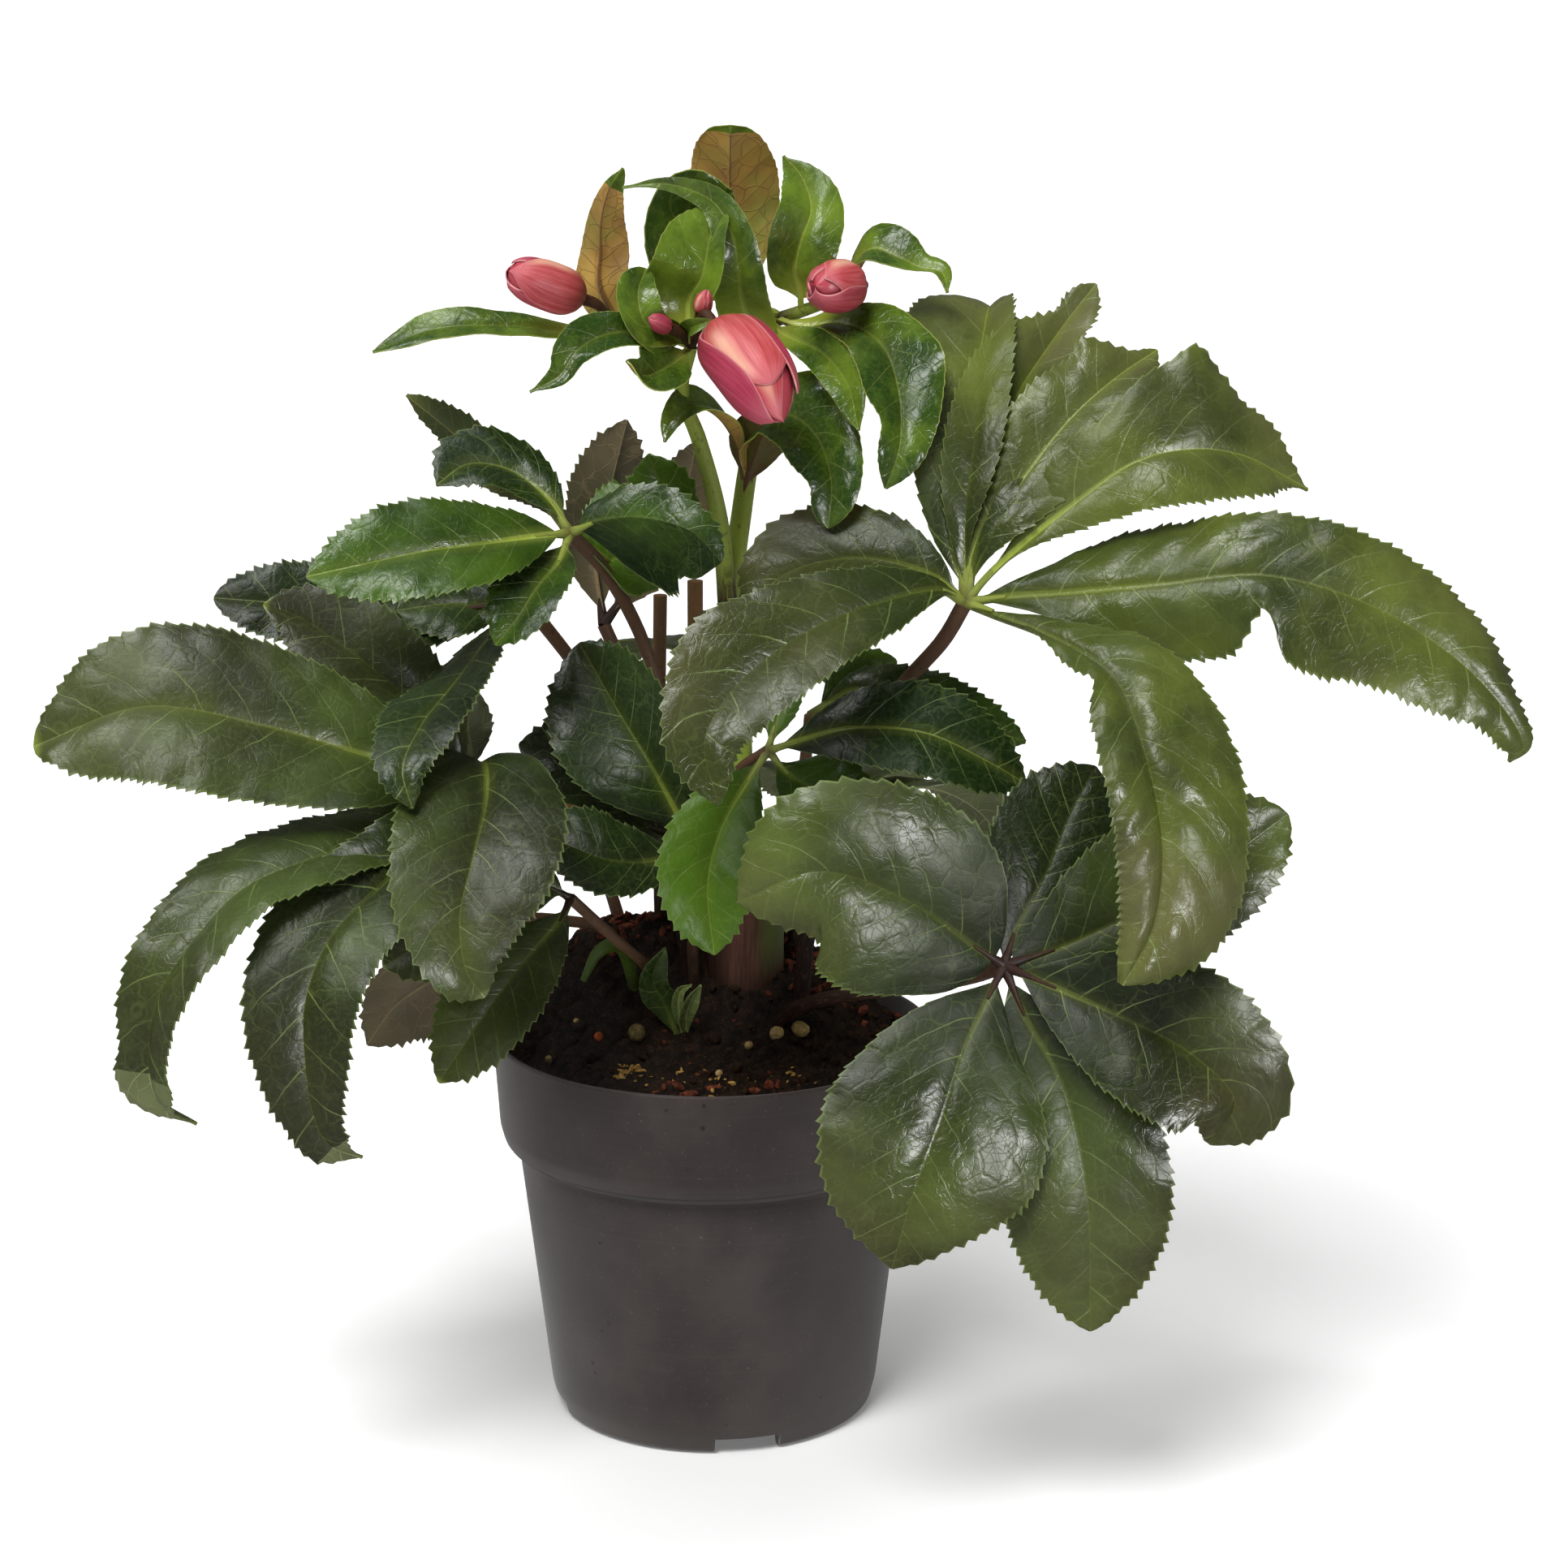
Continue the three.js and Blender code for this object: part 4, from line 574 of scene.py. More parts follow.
    drawn_tint = rng.random()
    table = np.stack([
        (hand * reach / 10).ravel() + 30 * phase, (run / 10).ravel(), lateral.ravel(), reach.ravel() / 10,
        np.tile(c, rows) * 0.5 + 0.5, np.repeat(t, columns), np.full(rows * columns, float(rib_light)),
        np.full(rows * columns, drawn_tint if tint is None else float(tint)),
    ], 1)
    upper, lower, rim = slab_faces(rows, columns)
    ends_at = [t[face[0] // columns] for face in upper]
    kinds = [int(end > turned) for end in ends_at] + [int(end < rolled) for end in ends_at]
    faces = upper + lower + rim
    points = np.vstack([top.reshape(-1, 3), bottom.reshape(-1, 3)])
    corner_rows = shape.add(points, faces, table, kinds + [0] * len(rim))
    # The side veins of the two halves alternate.
    middles = c[np.array(faces) % columns].mean(axis=1)
    corner_rows[:, 2] += 0.5 * np.repeat(middles > 0, 4)


def add_tube(shape, route, radii, sides=14, kind=0, step=4.0, furrow=0.0):
    """A round stalk with closed ends along a route. radii are spread evenly along it, and furrow
    sinks a shallow groove along its upper side."""
    rows = max(4, round(route_length(route) / step))
    t = np.linspace(0, 1, rows)
    at, forward, normal, length = stations_along(route, t, (0.3, -1, 0.2))
    side = np.cross(forward, normal)
    radius = np.interp(t, np.linspace(0, 1, len(radii)), radii)
    angle = angles_round(sides)
    sunk = 1 - furrow * np.exp(-(((angle - math.pi / 2) / 0.5) ** 2))
    ring = radius[:, None] * sunk[None, :]
    points = at[:, None, :] + scaled(side, ring * np.cos(angle)) + scaled(normal, ring * np.sin(angle))
    points = np.vstack([points.reshape(-1, 3), at[:1], at[-1:]])
    faces = [face[::-1] for face in barrel_faces(rows, sides)]
    run = np.append(np.repeat(t * length / 10, sides), [0, length / 10])
    turn = np.append(np.tile(angle / FULL_TURN, rows), [0.5, 0.5])
    share = np.append(np.repeat(t, sides), [0, 1])
    table = np.stack([turn, run, turn, run, turn, share, 0 * run, 0 * run], 1)
    shape.add(points, faces, table, kind)


# ---- Materials


class Value:
    """An output of one of a material's nodes. What is done with it adds nodes."""

    def __init__(self, graph, socket):
        self.graph, self.socket = graph, socket

    def calc(self, operation, *others):
        return self.graph.calc(operation, self, *others)

    __add__ = partialmethod(calc, "ADD")
    __sub__ = partialmethod(calc, "SUBTRACT")
    __mul__ = partialmethod(calc, "MULTIPLY")
    __truediv__ = partialmethod(calc, "DIVIDE")
    __abs__ = partialmethod(calc, "ABSOLUTE")
    most = partialmethod(calc, "MAXIMUM")

    def __rsub__(self, other):
        return self.graph.calc("SUBTRACT", other, self)

    def smooth(self, low, high, start=0.0, end=1.0):
        ends = {"Value": self, "From Min": low, "From Max": high, "To Min": start, "To Max": end}
        return self.graph.node("MapRange", ends, interpolation_type="SMOOTHSTEP")


class Graph:
    """A material's nodes, and its colour, which is painted in layers. A colour is given as the photo's
    eye sees it, 0 to 255."""

    def __init__(self, name):
        self.material = bpy.data.materials.new(name)
        self.material.use_nodes = True
        self.tree = self.material.node_tree
        self.colour = None

    def feed(self, socket, value):
        if isinstance(value, Value):
            self.tree.links.new(value.socket, socket)
        else:
            socket.default_value = linear(value) if socket.type == "RGBA" else value

    def node(self, kind, inputs=(), output=0, **settings):
        made = self.tree.nodes.new("ShaderNode" + kind)
        for key, value in settings.items():
            setattr(made, key, value)
        for key, value in dict(inputs).items():
            self.feed(made.inputs[key], value)
        return Value(self, made.outputs[output])

    def parts(self, vector):
        outputs = self.node("SeparateXYZ", {0: vector}).socket.node.outputs
        return [Value(self, output) for output in outputs]

    def uv(self, name):
        """The two coordinates of one of Shape's UV maps."""
        return self.parts(self.node("UVMap", uv_map=name))[:2]

    def place(self):
        return self.node("TexCoord", output="Object")

    def join(self, x, y, z=0.0):
        return self.node("CombineXYZ", {0: x, 1: y, 2: z})

    def calc(self, operation, *values):
        return self.node("Math", enumerate(values), operation=operation)

    def noise(self, vector, scale, detail=3.0, roughness=0.55, output="Fac"):
        inputs = {"Vector": vector, "Scale": scale, "Detail": detail, "Roughness": roughness}
        return self.node("TexNoise", inputs, output)

    def cells(self, vector, scale, feature="DISTANCE_TO_EDGE"):
        return self.node("TexVoronoi", {"Vector": vector, "Scale": scale}, "Distance", feature=feature)

    def blend(self, factor, a, b):
        return self.node("Mix", {0: factor, 6: a, 7: b}, 2, data_type="RGBA")

    def base(self, factor, low, high):
        self.colour = self.blend(factor, low, high)

    def paint(self, factor, colour):
        """Lays a colour over what is there."""
        self.colour = self.blend(factor, self.colour, colour)

    def finish(self, height=None, relief=0.0, strength=1.0, **sockets):
        """Closes the material. height stands out by relief, in metres."""
        if height is not None:
            inputs = {"Height": height, "Distance": relief, "Strength": strength}
            sockets["Normal"] = self.node("Bump", inputs)
        for key, value in dict(sockets, Base_Color=self.colour).items():
            self.feed(self.tree.nodes["Principled BSDF"].inputs[key.replace("_", " ")], value)
        return self.material


def linear(colour):
    """A colour of three numbers, 0 to 255, in linear light. One of four is linear already."""
    if len(colour) == 4:
        return colour
    straight = [v / 255 for v in colour]
    return tuple(v / 12.92 if v < 0.04045 else ((v + 0.055) / 1.055) ** 2.4 for v in straight) + (1.0,)


def vein_lines(g):
    """How much each point is on the rib, on a side vein, and on the nets between them, and where it is:
    away from the rib, across from margin to margin, and t along the leaflet."""
    phase, away = g.uv("vein")
    across, t = g.uv("share")
    rib_light, tint = g.uv("tone")
    flat = g.join(*g.uv("blade"))
    phase = phase + (g.noise(flat, 1.1, 2) - 0.5) * 0.16
    apart = abs((phase + 0.5).calc("FRACT") - 0.5)
    side = 1.0 - (apart / away.smooth(0.0, 2.2, 0.034, 0.012)).smooth(0.2, 1.0)
    rib = 1.0 - (away / t.smooth(0.0, 0.8, 0.14, 0.03)).smooth(0.45, 1.0)
    warp = g.node("TexNoise", {"Vector": flat, "Scale": 1.6, "Detail": 1.0}, "Color")
    warp = g.node("VectorMath", {0: warp, 3: 0.45}, operation="SCALE")
    warped = g.node("VectorMath", {0: flat, 1: warp}, operation="ADD")
    coarse = g.cells(warped, 1.45)
    net = 1.0 - coarse.smooth(0.012, 0.042)
    mesh = 1.0 - g.cells(warped, 4.2).smooth(0.01, 0.07)
    return SimpleNamespace(rib=rib, side=side, net=net, mesh=mesh, coarse=coarse, flat=flat, away=away,
                           across=across, t=t, rib_light=rib_light, tint=tint)


def leaf_material(name, dark, light, vein=(122, 140, 76), rib_colour=(164, 180, 76), gloss=0.27, shine=0.5,
                  dull=0.0, tinge_and_sheen=(88, 80, 48), veining=1.0, young=None, tip=None, tints=0.35, patches=16,
                  margin_light=0.5, hub=(0.42, 0.7), matt_hub=0.0):
    """The upper face of a leaf: two greens in soft patches, pale veins and margin, satin gloss.

    gloss is its roughness and shine its reflection. dull is how much of a brownish tinge lies on it towards
    its tips, partly its own colour and partly painted sheen, tints how much its leaflets differ, and patches
    how small its patches are. Its base is young in colour, or darker, out to hub's first and by its
    second, and duller by matt_hub."""
    g = Graph(name)
    v = vein_lines(g)
    place = g.place()
    patch = g.noise(place, patches, 4, 0.6) + (v.tint - 0.5) * tints
    g.base(patch.smooth(0.3, 0.7), dark, light)
    g.paint(g.noise(v.flat, 7, 4, 0.7).smooth(0.42, 0.72, 0.0, 0.1), vein)
    if dull:
        # A brownish tinge towards the tips: partly the leaf's own colour, partly painted sheen.
        tinge_and_sheen_cover = g.noise(place, 11, 2).smooth(0.4, 0.62, 0.15, dull) * v.t.smooth(0.25, 0.9, 0.25, 1.0)
        g.paint(tinge_and_sheen_cover * v.tint.smooth(-0.3, 0.1), tinge_and_sheen)
    if young:
        g.paint(v.t.smooth(0.4, 0.05, 0.0, 0.8), young)
    else:
        g.paint(v.t.smooth(hub[0], 0.0, 0.0, hub[1]), dark)
    if tip:
        g.paint(v.t.smooth(0.97, 1.0, 0.0, 0.6), tip)
    lines = (v.net * 0.13).most(v.mesh * 0.04).most(v.side * v.away.smooth(0.3, 2.0, 0.62, 0.28))
    g.paint(lines * g.noise(v.flat, 0.8, 2).smooth(0.34, 0.64, 0.25, 1.0) * veining, vein)
    strength = v.t.smooth(0.1, 0.55, 1.0, 0.0).most(0.35) * v.rib_light
    g.paint(v.rib * strength, rib_colour)
    g.paint(v.away.smooth(0.4, 0.05) * (strength * 0.3), rib_colour)
    g.paint(abs(v.across - 0.5).smooth(0.484, 0.5, 0.0, margin_light), vein)
    roughness = g.noise(place, 40, 2).smooth(0.3, 0.75, gloss - 0.05, gloss + 0.13)
    if matt_hub:
        roughness = roughness + v.t.smooth(0.55, 0.15, 0.0, matt_hub)
    height = v.coarse.smooth(0.0, 0.14) * 0.65 - v.side * 0.6 - v.mesh * 0.3
    height = height + g.noise(v.flat, 1.3, 2) * 2.4 + g.noise(v.flat, 9, 2) * 0.5
    return g.finish(height, 0.0001, 0.75, Roughness=roughness, Specular_IOR_Level=shine)


def underside_material(name, base, rib_colour, shade, moss=None, deep=None):
    """The lower face of a leaf: paler, matt, with the veins standing out. moss is the colour of its
    greener patches, and deep that of its leaflets with a low tint."""
    g = Graph(name)
    v = vein_lines(g)
    g.base(g.noise(g.place(), 30, 3).smooth(0.3, 0.7), base, shade)
    if moss:
        g.paint(g.noise(g.place(), 42, 3).smooth(0.44, 0.62, 0.0, 0.8) * v.t.smooth(1.0, 0.6), moss)
    if deep:
        g.paint(v.tint.smooth(0.2, 0.12, 0.0, 0.9), g.blend(v.t.smooth(0.0, 0.5), rib_colour, deep))
    g.paint((v.side * 0.5).most(v.net * 0.25), rib_colour)
    g.paint(v.rib * 0.8, rib_colour)
    height = v.side * 0.8 + v.net * 0.4 + g.noise(v.flat, 24, 2) * 0.3
    return g.finish(height, 0.0004, 0.7, Roughness=0.58, Specular_IOR_Level=0.35)


def stalk_material(name, low, high, streak, switch=(0.35, 0.75), gloss=0.42):
    """A fleshy stalk: its lower colour gives way to its upper one, with fine lengthwise streaks."""
    g = Graph(name)
    turn, run = g.uv("blade")
    share = g.uv("share")[1]
    fibre = g.noise(g.join((turn * FULL_TURN).calc("SINE") * 3, run * 0.5), 5, 4, 0.7)
    g.base((share + (fibre - 0.5) * 0.35).smooth(*switch), low, high)
    g.paint(fibre.smooth(0.5, 0.75, 0.0, 0.6), streak)
    g.paint(g.noise(g.place(), 420, 2).smooth(0.62, 0.7, 0.0, 0.4), low)
    roughness = fibre.smooth(0.3, 0.7, gloss - 0.06, gloss + 0.14)
    return g.finish(fibre, 0.0003, 0.6, Roughness=roughness, Specular_IOR_Level=0.3)


def sepal_material():
    """A bud's sepals: salmon to magenta, one with a cream band that is partly its own colour and partly a
    painted highlight, faint streaks and a pale margin.
    """
    g = Graph("bud_sepals")
    across, share = g.uv("share")
    magenta, cream = g.uv("tone")
    brown = g.uv("vein")[0]
    streaks = g.noise(g.join(across * 9, share * 0.8, magenta), 2.0, 5, 0.65)
    streaky = streaks.smooth(0.3, 0.7)
    salmon = g.blend(streaky, (180, 54, 60), (210, 100, 102))
    g.base(magenta, salmon, g.blend(streaky, (150, 34, 62), (184, 64, 92)))
    # The cream band: partly the sepal's own cream, partly a painted highlight.
    band = abs(across - cream).smooth(0.17, 0.02) * share.smooth(0.12, 0.45) * share.smooth(1.0, 0.7)
    g.paint(band * 0.85, (234, 176, 148))
    hair = g.noise(g.join(across * 34, share * 1.4), 2.0, 3, 0.7)
    g.paint(hair.smooth(0.5, 0.76, 0.0, 0.2), (228, 140, 128))
    g.paint(share.smooth(0.75, 1.0) * 0.45, (216, 120, 132))
    g.paint(share.smooth(0.5, 0.02) * brown, (112, 52, 28))
    g.paint(abs(across - 0.5).smooth(0.475, 0.498, 0.0, 0.7), (228, 150, 150))
    return g.finish(hair + streaks, 0.0002, 0.5, Roughness=0.34, Subsurface_Weight=0.08,
                    Subsurface_Scale=0.002)


def pot_material():
    """Dull dark plastic: faint moulding rings, dust, scuffs, and a few specks of soil and algae. Painted
    shade darkens the narrow slope under the collar, and the foot is dusty."""
    g = Graph("pot_plastic")
    place = g.place()
    z = g.parts(place)[2]
    grime = g.noise(place, 26, 5, 0.6)
    g.base(grime.smooth(0.35, 0.7), (49, 41, 39), (64, 54, 51))
    rings = g.noise(g.join(0.0, 0.0, z), 900, 2)
    g.paint(rings.smooth(0.45, 0.7, 0.0, 0.1), (78, 72, 68))
    dust = g.noise(place, 900, 3, 0.7)
    g.paint(dust.smooth(0.66, 0.72, 0.0, 0.5), (120, 108, 98))
    specks = g.cells(place, 150, "F1").smooth(0.14, 0.08) * g.noise(place, 35, 1).smooth(0.6, 0.68)
    g.paint(specks, (28, 26, 16))
    # Painted shade: the slope under the collar is painted dark, and its sheen is lowered there.
    ledge_shade = z.smooth(0.0868, 0.0876) * z.smooth(0.0914, 0.0904, 0.0, 0.45)
    g.paint(ledge_shade, (24, 20, 19))
    g.paint(z.smooth(0.02, 0.0, 0.0, 0.35), (84, 78, 72))
    return g.finish(rings * 0.2 + dust * 0.5, 0.00016, 0.5, Roughness=grime.smooth(0.3, 0.7, 0.42, 0.6),
                    Specular_IOR_Level=0.35, Sheen_Weight=ledge_shade.smooth(0.0, 0.45, 0.37, 0.16),
                    Sheen_Roughness=0.47)


def soil_material(name, dark, light, scale=240):
    g = Graph(name)
    place = g.place()
    clod = g.noise(place, scale, 6, 0.72)
    g.base(clod.smooth(0.36, 0.68), dark, light)
    g.paint(g.cells(place, scale * 3, "F1").smooth(0.35, 0.1, 0.0, 0.3), (84, 60, 40))
    return g.finish(clod, 0.0012, 0.9, Roughness=0.88, Specular_IOR_Level=0.25)


def sheath_material():
    """Papery sheath: painted shade down its left side, olive at the right, dark at its foot, pale at its lip.
    """
    g = Graph("sheath_skin")
    turn, share = g.uv("blade")
    fibre = g.noise(g.join(turn * 34, share * 1.5), 2.0, 4, 0.7)
    g.base(fibre.smooth(0.35, 0.68), (72, 44, 36), (98, 64, 50))
    right = turn.calc("MULTIPLY_ADD", FULL_TURN, math.radians(24)).calc("COSINE")
    g.paint(right.smooth(0.6, 0.95) * share.smooth(0.25, 0.7), (88, 98, 44))
    # Painted shade: a dark band down the left side, where the stalk beside it shades the sheath.
    left = turn.calc("MULTIPLY_ADD", FULL_TURN, -math.radians(212)).calc("COSINE")
    g.paint(left.smooth(0.72, 0.95, 0.0, 0.8), (40, 24, 20))
    g.paint(share.smooth(0.6, 0.02, 0.0, 0.85), (34, 22, 16))
    g.paint(share.smooth(0.9, 0.98, 0.0, 0.6), (122, 128, 70))
    return g.finish(fibre, 0.0002, 0.6, Roughness=0.55, Specular_IOR_Level=0.25)


# ---- Pot and soil

# The pot's closed profile as (radius, height), from the middle of its underside to that of its floor.
POT_PROFILE = [(0, 0), (16, 0), (17, 5), (43.9, 5), (44.9, 0), (48.5, 0), (50.9, 1.4), (52.6, 8),
               (62.2, 87.5), (66.7, 90.5), (68.1, 95.5), (70, 124.4), (69.6, 125), (68.4, 125), (66.5, 96.5),
               (60.6, 89.3), (51, 9), (49.4, 7), (0, 7)]
POT_FACETS = 144
POT_ROUNDING = 1.1
NOTCH_ANGLES = [math.radians(-77 + 90 * k) for k in range(4)]
NOTCH_RADIUS = 47.5
NOTCH_HALF = (7, 10.5, 5.6)
HOLE_PLACE = 34
HOLE_RADIUS = 4.5
HOLE_ENDS = (-3, 12)
SOIL_FLOOR = 7.3
SOIL_EDGE = 121.0
SOIL_RADIUS = 65.8
SOIL_WALL = [(48.9, 7.3), (50.6, 9.4), (60.2, 89.7), (65.8, 97)]
SOIL_SIDES = 180
SOIL_RINGS = 62
# The root ball that stands out of the peat: its height, its middle and its spread.
BALL_HEIGHT = 36
BALL_X, BALL_Y = -8, 14
BALL_SPREAD_X, BALL_SPREAD_Y = 52, 34
# Clods: height, fineness and a seed for each of three sizes.
CLODS = ((1.5, 0.16, 3.1), (0.9, 0.42, 7.7), (0.5, 1.1, 1.7))
CRUMB_EDGE = 65
ANY_ANGLE = 6.28


def revolve(profile, sides, name):
    """A turned mesh round Z from a closed (radius, height) profile whose ends are on the axis."""
    points, rings, faces = [], [], []
    for radius, z in profile:
        if radius < 1e-6:
            rings.append([len(points)])
            points.append((0, 0, z))
            continue
        rings.append(range(len(points), len(points) + sides))
        turns = angles_round(sides)
        points.extend(zip(radius * np.cos(turns), radius * np.sin(turns), [z] * sides))
    for low, high in zip(rings, rings[1:]):
        for k in range(sides):
            j = (k + 1) % sides
            if len(low) == 1:
                faces.append((low[0], high[j], high[k]))
            elif len(high) == 1:
                faces.append((low[k], low[j], high[0]))
            else:
                faces.append((low[k], low[j], high[j], high[k]))
    return mesh_object(name, points, faces)


def rounded(profile, radius, steps=4):
    """The profile with each inner corner replaced by a short curve."""
    soft = [profile[0]]
    for before, corner, after in zip(profile, profile[1:], profile[2:]):
        b, c, a = (np.array(p, float) for p in (before, corner, after))
        into, out = c - b, a - c
        cut = min(radius, 0.45 * np.linalg.norm(into), 0.45 * np.linalg.norm(out))
        start, end = c - unit(into) * cut, c + unit(out) * cut
        for s in np.linspace(0, 1, steps):
            soft.append(tuple((1 - s) ** 2 * start + 2 * s * (1 - s) * c + s**2 * end))
    return soft + [profile[-1]]


def cut_away(target, cutters):
    """Subtracts the cutters, applies the result, and removes them."""
    for cutter in cutters:
        modifier = target.modifiers.new("cut", "BOOLEAN")
        modifier.operation = "DIFFERENCE"
        modifier.object = cutter
        modifier.solver = "EXACT"
    graph = bpy.context.evaluated_depsgraph_get()
    mesh = bpy.data.meshes.new_from_object(target.evaluated_get(graph))
    target.modifiers.clear()
    target.data, old = mesh, target.data
    bpy.data.meshes.remove(old)
    for cutter in cutters:
        data = cutter.data
        bpy.data.objects.remove(cutter)
        bpy.data.meshes.remove(data)


def box_cutter(centre_radius, angle, half):
    """A box that stands on a ray from the pot's axis."""
    corners = np.array([(x, y, z) for x in (-1, 1) for y in (-1, 1) for z in (-1, 1)]) * half
    corners[:, 0] += centre_radius
    c, s = math.cos(angle), math.sin(angle)
    x, y = corners[:, 0] * c - corners[:, 1] * s, corners[:, 0] * s + corners[:, 1] * c
    faces = [(0, 1, 3, 2), (4, 6, 7, 5), (0, 4, 5, 1), (2, 3, 7, 6), (0, 2, 6, 4), (1, 5, 7, 3)]
    return mesh_object("cutter", np.stack([x, y, corners[:, 2]], 1), faces)


def hole_cutter(centre_radius, angle):
    low, high = HOLE_ENDS
    hole = revolve([(0, low), (HOLE_RADIUS, low), (HOLE_RADIUS, high), (0, high)], 24, "cutter")
    at = centre_radius * math.cos(angle) * MM, centre_radius * math.sin(angle) * MM, 0
    hole.data.transform(Matrix.Translation(at))
    return hole


def make_pot():
    pot = revolve(rounded(POT_PROFILE, POT_ROUNDING), POT_FACETS, "pot.shell")
    cutters = [box_cutter(NOTCH_RADIUS, angle, NOTCH_HALF) for angle in NOTCH_ANGLES]
    cutters += [hole_cutter(HOLE_PLACE, angle + math.pi / 4) for angle in NOTCH_ANGLES]
    cut_away(pot, cutters)
    pot.data.materials.clear()
    dress(pot, 40, [pot_material()], "pot_plastic", "pot")


def soil_height(x, y):
    edge = 1 - smoothstep(np.hypot(x, y), 56, 65)
    ball = ((x - BALL_X) / BALL_SPREAD_X) ** 4 + ((y - BALL_Y) / BALL_SPREAD_Y) ** 2
    crumbs = 1.1 * np.sin(x * 0.42 + 1.3) * np.cos(y * 0.37) + 0.7 * np.sin((x - y) * 0.81)
    return SOIL_EDGE + (BALL_HEIGHT * np.exp(-ball) + crumbs) * edge


def clods(x, y):
    """Loose peat: lumps of three sizes over the smooth height."""
    lumps = [sum(high * noise.noise((px * fine, py * fine, seed)) for high, fine, seed in CLODS)
             for px, py in zip(x.ravel(), y.ravel())]
    return np.array(lumps).reshape(x.shape)


def make_soil():
    wall = rounded([(0, SOIL_FLOOR), *SOIL_WALL, (SOIL_RADIUS, SOIL_EDGE - 0.4)], 0.6, 2)[1:]
    turns = angles_round(SOIL_SIDES)
    radii, heights = (np.array(column)[:, None] for column in zip(*wall))
    x, y = radii * np.cos(turns), radii * np.sin(turns)
    top = np.linspace(SOIL_RADIUS - 0.5, 1.0, SOIL_RINGS)[:, None]
    tx, ty = top * np.cos(turns), top * np.sin(turns)
    edge = 0.25 + 0.75 * (1 - smoothstep(np.hypot(tx, ty), 58, 65.5))
    tz = soil_height(tx, ty) + clods(tx, ty) * edge
    x, y, z = (np.vstack(pair) for pair in ((x, tx), (y, ty), (heights + 0 * x, tz)))
    middles = [[0, 0, SOIL_FLOOR], [0, 0, tz[-1].mean()]]
    points = np.vstack([np.stack([x, y, z], 2).reshape(-1, 3), middles])
    soil = mesh_object("soil.peat", points, barrel_faces(len(x), SOIL_SIDES))
    dress(soil, 60, [soil_material("peat", (12, 8, 5), (38, 25, 16))], "soil", "soil")


def lump_template():
    """A unit ball of 42 points."""
    ball = bmesh.new()
    bmesh.ops.create_icosphere(ball, subdivisions=2, radius=1)
    ball.verts.ensure_lookup_table()
    points = np.array([v.co[:] for v in ball.verts])
    faces = [tuple(v.index for v in f.verts) for f in ball.faces]
    ball.free()
    return points, faces


def random_turn():
    axis = unit(np.array([rng.gauss(0, 1) for _ in range(3)]))
    return np.array(Matrix.Rotation(rng.uniform(0, ANY_ANGLE), 3, Vector(axis)))


def scatter_lumps(name, spots, material, rough=0.35):
    """Lumps at the given (place, size, three proportions), merged into one piece on the soil."""
    ball, faces = lump_template()
    points, all_faces = [], []
    for place, size, proportions in spots:
        offset = np.array([rng.uniform(0, 50) for _ in range(3)])
        bumps = np.array([noise.noise(tuple(p * 1.4 + offset)) for p in ball])
        lump = ball * (1 + rough * bumps)[:, None] * np.array(proportions) * size
        lump = lump @ random_turn().T + np.array(place)
        all_faces += [tuple(i + len(points) * len(ball) for i in face) for face in faces]
        points.append(lump)
    piece = mesh_object(name, np.vstack(points), all_faces)
    dress(piece, 70, [material], "soil", "soil")


def soil_spot(x, y, sink):
    z = float(soil_height(np.array(x), np.array(y)))
    return (x, y, z - sink)


# Slow-release granules on the soil: place in millimetres, radius, and their colour.
GRANULES = [
    (-35.1, -26.4, 1.7, "orange"), (-23.2, -26.9, 3.0, "olive"), (20.6, -25.4, 2.5, "tan"),
    (27.9, -22.4, 3.0, "tan"), (11.8, -30.1, 1.5, "tan"), (-42.4, -19.8, 1.0, "tan"),
    (-50.5, -31.0, 1.4, "tan"), (2.7, -41.0, 1.3, "tan"), (-36, 30, 2.4, "olive"), (18, 42, 2.6, "tan"),
    (44, 14, 2.2, "olive"),
]
# Straw-coloured flecks and orange bark: place, spread and count.
GOLD_PATCHES = [(-26, -41, 3.6, 44), (-20, -47, 4, 16), (1, -45, 12, 24), (24, -44, 8, 12), (-50, -31, 3, 5)]
BARK_PATCHES = [(-26, 14, 16, 70), (34, 2, 12, 60), (-8, -52, 7, 6), (17, -52, 6, 5), (10, 30, 26, 50)]
CRUMB_COLOURS = {
    "orange": ((150, 62, 26), (196, 100, 52)), "olive": ((70, 60, 34), (120, 104, 62)),
    "tan": ((150, 122, 74), (196, 168, 116)), "gold": ((132, 98, 44), (196, 158, 88)),
    "red": ((60, 26, 16), (118, 62, 42)), "dark": ((20, 13, 8), (56, 36, 23)),
}


def crumbs_anywhere(count, smallest, largest, flat):
    spots = []
    while len(spots) < count:
        angle, radius = rng.uniform(0, ANY_ANGLE), 64 * math.sqrt(rng.random())
        size = rng.uniform(smallest, largest)
        if radius + size > CRUMB_EDGE:
            continue
        x, y = radius * math.cos(angle), radius * math.sin(angle)
        spots.append((soil_spot(x, y, size * 0.2), size, (1, rng.uniform(0.5, 0.9), rng.uniform(*flat))))
    return spots


def crumbs_gathered(patches, smallest, largest):
    spots = []
    for x, y, spread, count in patches:
        for _ in range(count):
            a, b = x + rng.gauss(0, spread * 0.6), y + rng.gauss(0, spread * 0.4)
            size = rng.uniform(smallest, largest)
            if math.hypot(a, b) + size < CRUMB_EDGE:
                spots.append((soil_spot(a, b, size * 0.1), size, (1.2, rng.uniform(0.5, 0.8), 0.45)))
    return spots


